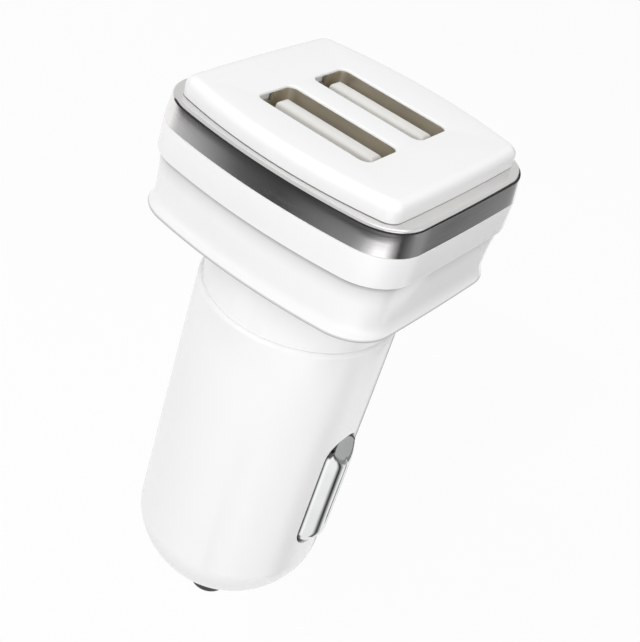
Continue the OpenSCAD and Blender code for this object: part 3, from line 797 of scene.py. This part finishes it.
class CHARGER_OT_tiers(Operator):
    """Forms the head's two white tiers, with the neck, step and lip"""

    bl_idname = "charger.tiers"
    bl_label = "White tiers"

    bevel = 0.06  # at the neck's foot
    fillet = 0.3  # from the neck to the head's underside
    edge = 0.12  # rounding of the lip
    under = 4.0  # inset at which the flat underside begins
    flare = 1.7  # height of the flare, in heights of the lip
    curve = 8  # steps of each half of the hollow side
    upstand = 0.6  # height by which the lower tier stands in the upper
    ledge = 0.9  # by which the cavity is narrower than the upstand
    tongue, tongue_wall, play = 0.7, 1.0, 0.1  # of the upper tier in the trim ring
    peg_places = ((-8, -5), (-8, 5), (8, -5), (8, 5))
    peg = ((0, 1.9), (0.6, 1.9), (0.6, -0.5), (0, -0.5))
    # Distance below the step and depth of the shadow that the step throws, painted into the colour
    under_step = ((0.0, 0.9), (0.5, 0.3), (1.0, 0.15), (1.6, 0.06))
    # Half height of each band of painted shade, and the margin round the lip's band
    half_band, margin = 0.1, 0.01

    def side(self, head, step):
        """Lower tier's underside and side, which is hollow and flares to the lip."""
        foot, waist = head.foot, head.waist
        bevel = self.edge / 4
        outer = [(self.under, foot), (head.lip + self.edge, foot), (head.lip + bevel, foot + bevel)]
        flare, bend = foot + self.edge, foot + head.lip_height * self.flare
        shares = [k / self.curve for k in range(self.curve + 1)]
        for t in shares:
            outer.append((waist - (waist - head.lip) * (1 - t) ** 2, flare + (bend - flare) * t))
        for t in shares[1:]:
            outer.append((waist - (waist - head.step) * t**2, bend + (step - bend) * t))
        return outer

    def lower_tier(self, head, b):
        z = heights(head)
        guide = head_outline(head, 0)
        neck_low, inner = -b.neck_in, b.spigot_radius - b.neck_wall
        rim, neck = b.rim_round, b.neck_radius
        neck_section = [(b.spigot_radius, neck_low), (b.spigot_radius, rim)]
        neck_section += [(neck - self.bevel, rim), (neck, rim + self.bevel)]
        for away, up in quarter_turn(4):
            under = head.foot - self.fillet + self.fillet * up
            neck_section.append((neck + self.fillet * away, under))
        cavity = head.wall + self.ledge
        upstand = z["step"] + self.upstand
        section = self.side(head, z["step"])
        section += [(head.wall + FIT, z["step"]), (head.wall + FIT, upstand)]
        section += [(cavity, upstand), (cavity, z["floor"])]
        levels = round_levels(guide, neck_section) + head_levels(head, section)
        levels += round_levels(guide, [(inner, z["floor"]), (inner, neck_low)])
        base = scratch("head_base_shell", sweep(levels, closed=True))
        peg = soften(self.peg, [0, 0.2, 0, 0], 4, False)
        pegs = [moved(lathe(peg, 32, closed=False), x, y, z["floor"]) for x, y in self.peg_places]
        carve(base, pegs, "UNION")
        # Painted shade: a dark line along the lip's lower edge, then the step's painted shadow
        bands = [(head.foot + self.margin, head.foot + self.edge + self.margin, 0.8)]
        for below, depth in self.under_step:
            middle = z["step"] - below
            bands.append((middle - self.half_band, middle + self.half_band, depth))
        painted_shade_marks(base, painted_shade_bands(bands))
        finished(base, "shell", "head_base")

    def upper_tier(self, head):
        z = heights(head)
        step, ring = z["step"], z["ring"]
        shelf, tongue = ring - head.shelf, ring + self.tongue
        rebate = head.ring_wall + head.ring_draft + self.play
        inner = rebate + self.tongue_wall
        points = [(0, step), (0, ring), (rebate, ring), (rebate, tongue), (inner, tongue)]
        points += [(inner, shelf), (head.wall, shelf), (head.wall, step)]
        section = soften(points, [0.2, 0.08, 0, 0.1, 0.1, 0, 0, 0.1])
        band = scratch("collar_band_shell", sweep(head_levels(head, section), closed=True))
        # painted shade along the upper tier's lower edge, over the step
        painted_shade_marks(band, painted_shade_bands([(step - self.margin, step + self.edge, 1.0)]))
        finished(band, "shell", "collar_band")

    def execute(self, context):
        scene = context.scene
        self.lower_tier(scene.charger_head, scene.charger_barrel)
        self.upper_tier(scene.charger_head)
        return {"FINISHED"}


class CHARGER_OT_trim_ring(Operator):
    """Forms the dark metal trim ring with its flat top and rolled edge"""

    bl_idname = "charger.trim_ring"
    bl_label = "Trim ring"

    lip = 1.17  # width of the flange inside the ring's side
    dip = 0.02  # by which the flat lies below the rolled edge
    slope = 0.12  # width of the slope down to it

    def execute(self, context):
        scene = context.scene
        head = scene.charger_head
        z = heights(head)
        low, top = z["ring"], z["top"]
        draft, inner = head.ring_draft, head.ring_wall + head.ring_draft
        opening, under = inner + self.lip, top - head.ring_top
        bevel = draft + head.ring_round
        points = [(0, low), (draft, top), (bevel, top), (bevel + self.slope, top - self.dip)]
        points += [(opening, top - self.dip), (opening, under), (inner, under), (inner, low)]
        radii = [0.08, head.ring_round * 0.97, 0, 0, 0.05, 0.05, 0.1, 0.05]
        levels = head_levels(head, soften(points, radii, steps=10))
        ring = scratch("trim_ring_metal", sweep(levels, closed=True))
        finished(ring, "ring", "trim_ring", crease=24.0)
        return {"FINISHED"}


class CHARGER_OT_face_plate(Operator):
    """Forms the bowed face plate with its two openings and snap legs"""

    bl_idname = "charger.face_plate"
    bl_label = "Face plate"

    past = 1.0  # by which the cutters pass the plate's inner face
    skirt = 0.6  # depth of the skirt below the ring's foot
    skirt_wall = 1.2
    chamfer = 0.04  # on the plate's lower edge
    plug = 1.27  # inset of the plate's plug behind the ring's side
    room = 0.3  # by which a seat is larger than its receptacle
    leg_wall, leg_width, leg_in, root = 0.9, 4.0, 0.1, 0.5
    hook, ramp, tooth = 0.5, 0.4, 0.9  # stand-out, slope and height of a leg's hook

    def opening(self, ports, y, z):
        """Cutter for one opening, with its rounded edge."""
        lead = ports.lead_in
        stops = [(0, z["inside"] - self.past)]
        stops += [(lead * away, z["face"] - lead * (1 - up)) for away, up in quarter_turn(6)]
        stops.append((lead, z["face"] + 2.0))
        levels = [raised(port_outline(ports, grow), height) for grow, height in stops]
        return moved(sweep(levels), y=y)

    def seat(self, ports, y, z):
        """Cutter for the seat of one receptacle."""
        grow = 2 * ports.sheet + self.room
        size = (ports.length + grow, ports.width + grow)
        outline = rounded_outline(*size, ports.corner + ports.sheet)
        stops = (z["inside"] - self.past, z["face"] - ports.mouth + FIT)
        return moved(sweep([raised(outline, height) for height in stops]), y=y)

    def leg(self, reach, head, z):
        """One snap leg, its hook under the shelf."""
        foot = z["ring"] - head.shelf - FIT - self.tooth
        root, inner, out = z["top"] + self.root, reach - self.leg_wall, reach + self.hook
        tooth = foot + self.tooth
        section = [(inner, root), (inner, foot), (reach, foot), (out, foot + self.ramp)]
        section += [(out, tooth), (reach, tooth), (reach, root)]
        return bar(section, self.leg_width)

    def execute(self, context):
        scene = context.scene
        head, ports = scene.charger_head, scene.charger_ports
        z = heights(head)
        z["inside"] = z["face"] - head.face_skin
        plug = head.ring_wall + head.ring_draft + self.plug
        low, inner = z["ring"] - self.skirt, plug + self.skirt_wall
        levels = head_levels(
            head, [(inner, z["inside"]), (inner, low), (plug, low), (plug, z["top"])]
        )
        section = [(self.chamfer, z["top"]), (0.0, z["top"] + self.chamfer)]
        for away, up in quarter_turn(10):
            section.append((head.face_round * away, z["face"] - head.face_round * (1 - up)))
        plate = scratch("face_plate_shell", sweep(levels + face_levels(head, section)))
        tools = []
        for y in port_places(ports).values():
            tools += [self.opening(ports, y, z), self.seat(ports, y, z)]
        carve(plate, tools)
        legs = []
        for half, angles in ((head.half_length, (0, 180)), (head.half_depth, (90, 270))):
            reach = half - plug - self.leg_in
            legs += [turned(self.leg(reach, head, z), angle) for angle in angles]
        carve(plate, legs, "UNION")
        finished(plate, "shell", "face_plate")
        return {"FINISHED"}


class CHARGER_OT_ports(Operator):
    """Folds the receptacles' metal shells and forms their tongues"""

    bl_idname = "charger.ports"
    bl_label = "Ports"

    bevel, bevel_deep = 0.05, 0.08  # width of the mouth's bevels, and depth of the inner one
    finger_places = (-3.2, 3.2)
    # X and height below the mouth of the cuts that free one spring finger
    finger_cuts = ((-1.2, -0.8, -8.3, -3.9), (0.8, 1.2, -8.3, -3.9), (-1.0, 1.0, -8.3, -7.9))
    finger_past = 0.4  # by which a finger's cutters pass the middle of the wall
    notch, notch_deep = (-2.4, 0.1), 0.8  # Y and depth of the notch in one end wall
    leg_half, leg_down, leg_up = 0.8, 0.9, 0.5  # half width of a shell's leg, and its ends
    base_bevel = 0.1
    tongue_root, tongue_corner = 0.6, 0.12  # height of the tongue's foot, and its corners
    # Inset and height below the end of the levels at a tongue's end
    tongue_end = ((0.0, 0.35), (0.06, 0.2), (0.2, 0.06), (0.35, 0.0))
    strip_places = (-3.5, -1.0, 1.0, 3.5)
    strip_half = 0.55  # half width of a contact strip's groove
    strip_deep, strip_past = 0.24, 0.02  # depth of its cutter, and how far that stands out
    strip_end = 1.0  # from the groove to the tongue's end

    def shell(self, ports, y, mouth):
        """Metal shell of a receptacle with a bevelled mouth."""
        low, sheet = ports.base, ports.sheet
        stops = [(sheet, low), (sheet, mouth - self.bevel), (sheet - self.bevel, mouth)]
        stops += [(self.bevel, mouth), (0, mouth - self.bevel_deep), (0, low)]
        levels = [raised(port_outline(ports, grow, 10), z) for grow, z in stops]
        return moved(sweep(levels, closed=True), y=y)

    def fingers(self, ports, y, mouth):
        """Cutters for the spring fingers' slots and the notch in one end wall."""
        cuts = []
        for side in (-1, 1):
            wall = y + side * (ports.width + ports.sheet) / 2
            for x in self.finger_places:
                for left, right, low, high in self.finger_cuts:
                    start = (x + left, wall - self.finger_past, mouth + low)
                    cuts.append(block(start, (x + right, wall + self.finger_past, mouth + high)))
        end = -ports.length / 2
        front, rear = (y + reach for reach in self.notch)
        start = (end - ports.sheet - 0.2, front, mouth - self.notch_deep)
        return cuts + [block(start, (end + ports.corner, rear, mouth + 1.0))]

    def legs(self, ports, y):
        """Legs that stand in the board at the shell's two ends."""
        half, low, made = ports.sheet / 2, ports.base, []
        for side in (-1, 1):
            x = side * (ports.length + ports.sheet) / 2
            start = (x - half, y - self.leg_half, low - self.leg_down)
            made.append(block(start, (x + half, y + self.leg_half, low + self.leg_up)))
        return made

    def tongue(self, ports, y, face):
        """Base and tongue of a receptacle, with grooves for the contact strips."""
        low, thick = ports.base, ports.tongue_depth
        top = low + ports.base_thick
        stops = ((-FIT, low), (-FIT, top - self.base_bevel), (-FIT - self.base_bevel, top))
        foot = moved(sweep([raised(port_outline(ports, grow), z) for grow, z in stops]), y=y)
        middle = y + ports.width / 2 - ports.tongue_gap - thick / 2
        end = face - ports.tongue_below
        stops = [(0.0, low + self.tongue_root)]
        stops += [(inset, end - below) for inset, below in self.tongue_end]
        levels = []
        for inset, z in stops:
            size = (ports.tongue_length - 2 * inset, thick - 2 * inset)
            levels.append(raised(rounded_outline(*size, self.tongue_corner, 4), z))
        piece = carve(scratch("usb_tongue", foot), [moved(sweep(levels), y=middle)], "UNION")
        grooves = []
        groove = middle - thick / 2 - self.strip_past
        bottom, stop = groove + self.strip_deep, end - self.strip_end
        for x in self.strip_places:
            start = (x - self.strip_half, groove, low - 1)
            grooves.append(block(start, (x + self.strip_half, bottom, stop)))
        return carve(piece, grooves)

    def execute(self, context):
        scene = context.scene
        ports, face = scene.charger_ports, heights(scene.charger_head)["face"]
        mouth = face - ports.mouth
        for place, y in port_places(ports).items():
            shell = scratch(f"usb_{place}_sheet", self.shell(ports, y, mouth))
            carve(shell, self.fingers(ports, y, mouth))
            carve(shell, self.legs(ports, y), "UNION")
            finished(shell, "port", f"usb_shell_{place}")
            tongue = self.tongue(ports, y, face)
            tongue.name = f"usb_{place}_tongue"
            finished(tongue, "tongue", f"usb_insulator_{place}")
        return {"FINISHED"}


class CHARGER_OT_side_contacts(Operator):
    """Presses the two domed side contacts with their flanges"""

    bl_idname = "charger.side_contacts"
    bl_label = "Side contacts"

    blend = 0.32  # over which the dome and the sloped end meet
    corner_steps, side_steps = 12, 40
    skin_loops, back_loops = 22, 8
    rim = 0.02  # inset of the outermost loop of the skin
    crown = 0.12  # half width of the innermost loop
    edge = 0.06  # step from the skin down to the flange's side
    flange_out, flange_thick, flange_corner, bevel = 1.0, 0.6, 0.3, 0.05
    play = 0.08  # between the flange and the barrel's bore
    slant = 1.25  # upright measure of the slope's sheet, as a factor
    shaded_rim = 0.1  # width of the painted shade, a dark rim, along the outline

    def form(self, side, barrel, y, z, drop):
        """Height of the pressed skin over a point, drawn in by drop."""
        ridge, edge, radius = contact_arc(side, barrel)
        dome = -side.side_top - side.side_length + side.side_width / 2
        reach = radius - drop
        down = max(0.0, dome - z)
        ball = ridge - radius + math.sqrt(max(0.01, reach**2 - y * y - down * down))
        along = (-side.side_top - z) / side.side_slope
        slope = edge + (ridge - edge) * along - drop * self.slant
        mix = max(0.0, min(1.0, 0.5 + (slope - ball) / (2 * self.blend)))
        return slope + (ball - slope) * mix - self.blend * mix * (1 - mix)

    def contact(self, side, barrel):
        """Outer skin, flange and hollow back, each level a loop of equal count."""
        low = contact_middle(side)
        length, width, sheet = side.side_length, side.side_width, side.side_sheet
        bore = barrel.foot_radius - barrel.wall
        flange = math.sqrt(bore**2 - (width / 2 + self.flange_out) ** 2) - self.play

        def loop(grow, height, corner=None):
            """Contact's outline grown by a distance, its points at their heights."""
            corner = corner or max(0.02, width / 2 - END_FLAT + grow)
            size = (length + 2 * grow, width + 2 * grow)
            outline = slot_outline(*size, corner, self.corner_steps, self.side_steps)
            return [(height(v, low + u), v, low + u) for u, v in outline]

        def skin(drop, below=0.0):
            return lambda y, z: self.form(side, barrel, y, z, drop) - below

        def flat(height):
            return lambda y, z: height

        inmost, last = width / 2 - self.crown, self.skin_loops - 1
        insets = [inmost - i * (inmost - self.rim) / last for i in range(self.skin_loops)]
        levels = [loop(-d, skin(0.0)) for d in insets]
        levels += [loop(0.0, skin(0.0, self.edge)), loop(0.0, flat(flange))]
        out, back = self.flange_out, flange - self.flange_thick
        bevelled, chamfer = out - self.bevel, self.bevel
        stops = ((flange, bevelled), (flange - chamfer, out), (back + chamfer, out))
        for height, grow in (*stops, (back, bevelled)):
            levels.append(loop(grow, flat(height), self.flange_corner))
        levels.append(loop(-sheet, flat(back)))
        first, last = sheet + self.rim, self.back_loops - 1
        for i in range(self.back_loops):
            levels.append(loop(-(first + i * (inmost - first) / last), skin(sheet)))
        return sweep(levels)

    def execute(self, context):
        scene = context.scene
        side, barrel = scene.charger_contacts, scene.charger_barrel
        for place, angle in (("right", 0), ("left", 180)):
            piece = scratch(f"side_{place}_plate", turned(self.contact(side, barrel), angle))
            # painted shade: a dark rim where the contact meets its window
            painted_shade_marks(piece, lambda x, y, z: float(contact_depth(side, y, z) < self.shaded_rim))
            node, body = f"side_contact_{place}", f"contact_{place}"
            finished(piece, "contact", node, body, crease=50.0)
        return {"FINISHED"}


class CHARGER_OT_tip(Operator):
    """Turns the sprung tip contact"""

    bl_idname = "charger.tip"
    bl_label = "Tip contact"

    dome = 0.9  # height of the rounded end
    flange = 1.3  # by which the flange stands out, and radius of the pin over it
    pin_top = 2.2  # height of the pin over the flange's underside

    def execute(self, context):
        scene = context.scene
        side, barrel = scene.charger_contacts, scene.charger_barrel
        end, seat = -barrel.nose_end - side.tip_out, nose_seat(barrel)
        r, wide, pin = side.tip_radius, side.tip_radius + self.flange, self.flange
        dome = [(r * out, end + self.dome * away) for away, out in quarter_turn(12)]
        over = seat + TIP_FLANGE
        points = [(r, seat), (wide, seat), (wide, over), (pin, over)]
        points += [(pin, seat + self.pin_top), (0, seat + self.pin_top)]
        upper = soften(points, [0, 0.1, 0.1, 0.1, 0.25, 0], steps=4, closed=False)
        tip = scratch("tip_pin", lathe(dome + upper, 96, closed=False))
        finished(tip, "tip", "tip_contact", "tip", crease=40.0)
        return {"FINISHED"}


class CHARGER_OT_springs(Operator):
    """Winds the tip's spring and bends the leaf springs behind the side contacts"""

    bl_idname = "charger.springs"
    bl_label = "Springs"

    turns, per_turn, round_wire = 5, 48, 12
    root = 0.6  # X of the board's face, on which a leaf spring stands
    strip = 0.25  # thickness of a leaf spring
    narrower = 2.2  # by which a leaf spring is narrower than its contact
    clear = 0.1  # between a leaf spring and the hollow of its contact

    def coil(self, side, low):
        """Wire wound with closed ends between the flange and its seat."""
        turns, wire, top = self.turns, side.wire, side.coil_top
        rise = (top - low - 3 * wire) / (turns - 2)
        levels = []
        for i in range(turns * self.per_turn + 1):
            u = i / self.per_turn
            z = low + wire / 2 + wire * min(u, 1) + rise * min(max(u - 1, 0), turns - 2)
            z += wire * max(u - turns + 1, 0)
            a = 2 * math.pi * u
            level = []
            for k in range(self.round_wire):
                b = 2 * math.pi * k / self.round_wire
                radius = side.coil_radius + wire / 2 * math.cos(b)
                place = (radius * math.cos(a), radius * math.sin(a))
                level.append((*place, z + wire / 2 * math.sin(b)))
            levels.append(level)
        return sweep(levels)

    def leaf_top(self, side, barrel, width):
        """Reach of a strip of a width into the hollow of a side contact."""
        ridge, _, radius = contact_arc(side, barrel)
        hollow = math.sqrt((radius - side.side_sheet) ** 2 - width**2 / 4)
        return ridge - radius + hollow - self.clear

    def leaf(self, side, top, width):
        """Bent strip from the board to the hollow of a side contact."""
        t = self.strip
        board, crest = self.root, top - t  # X of the back on the board and at the crest
        hook = crest - 1
        foot = -side.side_top - side.side_length + 1.5
        bend = foot + 3.0
        high = contact_middle(side) + 0.5  # height of the crest
        end = high + 3.0
        outline = [(board, foot), (board, bend + t), (board + 0.4, bend + 2 * t)]
        outline += [(crest - 0.3, high), (crest, high + 0.5), (hook, end)]
        outline += [(hook + t, end + t / 2), (crest + t, high + 0.4), (crest, high - 2 * t)]
        outline += [(board + t + 0.4, bend + t), (board + t, bend), (board + t, foot)]
        radii = [0, 0.15, 0.15, 0.15, 0.15, 0.05, 0.05, 0.25, 0.25, 0.1, 0.1, 0]
        return bar(soften(outline, radii, steps=3), width)

    def execute(self, context):
        scene = context.scene
        side, barrel = scene.charger_contacts, scene.charger_barrel
        low = nose_seat(barrel) + TIP_FLANGE
        wound = scratch("tip_coil", self.coil(side, low))
        finished(wound, "spring", "tip_spring")
        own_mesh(wound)
        width = side.side_width - self.narrower
        top = self.leaf_top(side, barrel, width)
        for place, angle, sign in (("right", 0, 1), ("left", 180, -1)):
            leaf = scratch(f"leaf_{place}", turned(self.leaf(side, top, width), angle))
            finished(leaf, "spring", f"side_spring_{place}")
            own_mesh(leaf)
        return {"FINISHED"}


class CHARGER_OT_stage(Operator):
    """Sets the floor, the lamps, the white surround and the camera"""

    bl_idname = "charger.stage"
    bl_label = "Stage"

    # Name, place, aim, size and watts of each lamp, and whether polished surfaces show it
    lamps = (
        ("key", (-0.06, -0.38, 0.3), (0, 0, -0.01), (0.3, 0.3), 0.97, False),
        ("fill", (0.4, -0.16, 0.1), (0, 0, -0.01), (0.3, 0.4), 0.46, True),
        ("top", (0.05, 0.1, 0.46), (0, 0, 0), (0.4, 0.3), 0.19, True),
    )
    # Cards that polished surfaces mirror. Radius and height over the floor of the near
    # and the far edge in metres, then greys by bearing from the front towards +X.
    cards = {
        "card_surround": (
            ((0.112, 0.002), (0.36, 0.002)),
            ((-75, 0.9), (-50, 0.5), (-34, 0.1), (-22, 0.06), (-8, 0.22), (14, 0.43), (28, 0.75))
            + ((42, 1.25), (60, 1.25), (74, 0.45), (86, 0.03), (120, 0.27), (141, 0.27))
            + ((145, 0.12), (152, 0.2), (170, 0.6)),
        ),
        "card_brow": (((0.06, 0.075), (0.06, 0.11)), ((-80, 0.04), (175, 0.04))),
        "card_line": (
            ((0.03, 0.004), (0.13, 0.004)),
            ((92, 0.9), (101, 0.3), (107, 0.03), (112, 0.03), (120, 0.4), (130, 0.95)),
        ),
        "card_side": (
            ((0.03, 0.002), (0.075, 0.002)),
            ((16, 0.4), (26, 0.6), (36, 1.1), (52, 1.15)),
        ),
        "card_edge": (((0.03, 0.002), (0.13, 0.002)), ((174, 0.7), (181, 0.06), (214, 0.06))),
        "card_slope": (((0.3, 0.003), (0.3, 0.045)), ((112, 0.46), (160, 0.46))),
    }

    floor_glow, floor_share = 1.08, 0.8  # brightness of the floor's glow, and its share

    def surround(self, scene):
        """World that lights softly and shows white behind the plug."""
        world = scene.world or bpy.data.worlds.new("surround")
        scene.world = world
        world.use_nodes = True
        world.node_tree.nodes.clear()
        made = Nodes(world.node_tree)
        tones = {"Color": (0.985, 0.99, 0.985, 1), "Strength": 0.7}
        soft = made.add("ShaderNodeBackground", tones)
        tones = {"Color": (1, 1, 1, 1), "Strength": 1.0}
        white = made.add("ShaderNodeBackground", tones)
        seen = made.add("ShaderNodeLightPath").outputs["Is Camera Ray"]
        inputs = {0: seen, 1: soft.outputs[0], 2: white.outputs[0]}
        mix = made.add("ShaderNodeMixShader", inputs)
        made.add("ShaderNodeOutputWorld", {"Surface": mix.outputs[0]})

    def prop(self, name, points, faces, material):
        """Object of the stage that is no part of the plug."""
        mesh = bpy.data.meshes.new(name)
        mesh.from_pydata(points, [], faces)
        mesh.materials.append(material)
        made = bpy.data.objects.new(name, mesh)
        bpy.context.scene.collection.objects.link(made)
        return made

    def ground(self, height, colour, half=2.0):
        """Pale floor that fades into the white surround and keeps the shadow."""
        made = Finish("pale_floor", colour)
        made.rough(made.noise(30, 3), 0.55, 0.65)
        glow = made.add("ShaderNodeEmission", {"Strength": self.floor_glow})
        path = made.add("ShaderNodeLightPath")
        inputs = {0: path.outputs["Is Camera Ray"], 1: path.outputs["Is Glossy Ray"]}
        seen = made.add("ShaderNodeMath", inputs, operation="MAXIMUM")
        inputs = {0: seen.outputs[0], 1: self.floor_share}
        share = made.add("ShaderNodeMath", inputs, operation="MULTIPLY")
        inputs = {0: share.outputs[0], 1: made.shader.outputs[0], 2: glow.outputs[0]}
        made.surface(made.add("ShaderNodeMixShader", inputs))
        corners = [(x * half, y * half, height) for x, y in ((-1, -1), (1, -1), (1, 1), (-1, 1))]
        self.prop("floor", corners, [(0, 1, 2, 3)], made.material)

    def card(self, name, edges, greys, floor):
        """Graded card beside the plug that only polished surfaces show."""
        points, tones = [], []
        for (first, one), (last, two) in zip(greys, greys[1:]):
            steps = math.ceil((last - first) / 3)
            for i in range(steps + 1):
                share = i / steps
                a = math.radians(first + (last - first) * share)
                for radius, height in edges:
                    points.append((radius * math.sin(a), -radius * math.cos(a), floor + height))
                    tones.append(one + (two - one) * share)
        faces = [(2 * i, 2 * i + 1, 2 * i + 3, 2 * i + 2) for i in range(len(points) // 2 - 1)]
        made = Finish(name, (0, 0, 0))
        tone = made.add("ShaderNodeAttribute", attribute_name="shade").outputs["Color"]
        made.surface(made.add("ShaderNodeEmission", {"Color": tone}))
        card = self.prop(name, points, faces, made.material)
        shade = card.data.color_attributes.new("shade", "FLOAT_COLOR", "POINT")
        for point, tone in zip(shade.data, tones):
            point.color = (tone, tone, tone, 1)
        card.visible_camera = card.visible_diffuse = card.visible_shadow = False

    def lamp(self, name, place, aim, size, watts, mirrored):
        data = bpy.data.lights.new(name, "AREA")
        data.shape = "RECTANGLE"
        data.size, data.size_y = size
        data.energy = watts
        lamp = bpy.data.objects.new(name, data)
        lamp.location = Vector(place)
        lamp.rotation_euler = (Vector(aim) - Vector(place)).to_track_quat("-Z", "Y").to_euler()
        lamp.visible_glossy = mirrored
        bpy.context.scene.collection.objects.link(lamp)

    def camera(self, scene, stage):
        data = bpy.data.cameras.new("camera")
        data.lens = stage.lens
        data.sensor_width = 36.0
        data.clip_start, data.clip_end = 0.005, 10.0
        camera = bpy.data.objects.new("camera", data)
        back, up = Vector(stage.back).normalized(), Vector(stage.up)
        right = up.cross(back).normalized()
        turn = Matrix((right, back.cross(right), back)).transposed().to_4x4()
        camera.matrix_world = Matrix.Translation(Vector(stage.eye)) @ turn
        scene.collection.objects.link(camera)
        scene.camera = camera

    def execute(self, context):
        scene = context.scene
        stage = scene.charger_stage
        scene.view_settings.view_transform = "Standard"
        self.surround(scene)
        tip = -(scene.charger_barrel.nose_end + scene.charger_contacts.tip_out)
        floor = (tip - stage.drop) * MM
        self.ground(floor, scene.charger_colours.floor)
        for values in self.lamps:
            self.lamp(*values)
        self.camera(scene, stage)
        for name, (edges, greys) in self.cards.items():
            self.card(name, edges, greys, floor)
        return {"FINISHED"}


STEPS = (
    CHARGER_OT_stage,
    CHARGER_OT_finishes,
    CHARGER_OT_barrel,
    CHARGER_OT_tiers,
    CHARGER_OT_trim_ring,
    CHARGER_OT_face_plate,
    CHARGER_OT_ports,
    CHARGER_OT_side_contacts,
    CHARGER_OT_tip,
    CHARGER_OT_springs,
)


class CHARGER_PT_panel(Panel):
    """Lists the steps that build the plug"""

    bl_idname = "CHARGER_PT_panel"
    bl_label = "Charger plug"
    bl_space_type = "VIEW_3D"
    bl_region_type = "UI"
    bl_category = "Charger"

    def draw(self, context):
        for step in STEPS:
            self.layout.operator(step.bl_idname)
        for name, group in GROUPS:
            box = self.layout.box()
            box.label(text=group.__doc__)
            settings = getattr(context.scene, name)
            for key in group.__annotations__:
                box.prop(settings, key)


def register():
    for name, group in GROUPS:
        bpy.utils.register_class(group)
        setattr(bpy.types.Scene, name, PointerProperty(type=group))
    for step in STEPS:
        bpy.utils.register_class(step)
    bpy.utils.register_class(CHARGER_PT_panel)


def unregister():
    bpy.utils.unregister_class(CHARGER_PT_panel)
    for step in reversed(STEPS):
        bpy.utils.unregister_class(step)
    for name, group in reversed(GROUPS):
        delattr(bpy.types.Scene, name)
        bpy.utils.unregister_class(group)


def main():
    register()
    for step in STEPS:
        family, name = step.bl_idname.split(".")
        getattr(getattr(bpy.ops, family), name)()


if __name__ == "__main__":
    main()
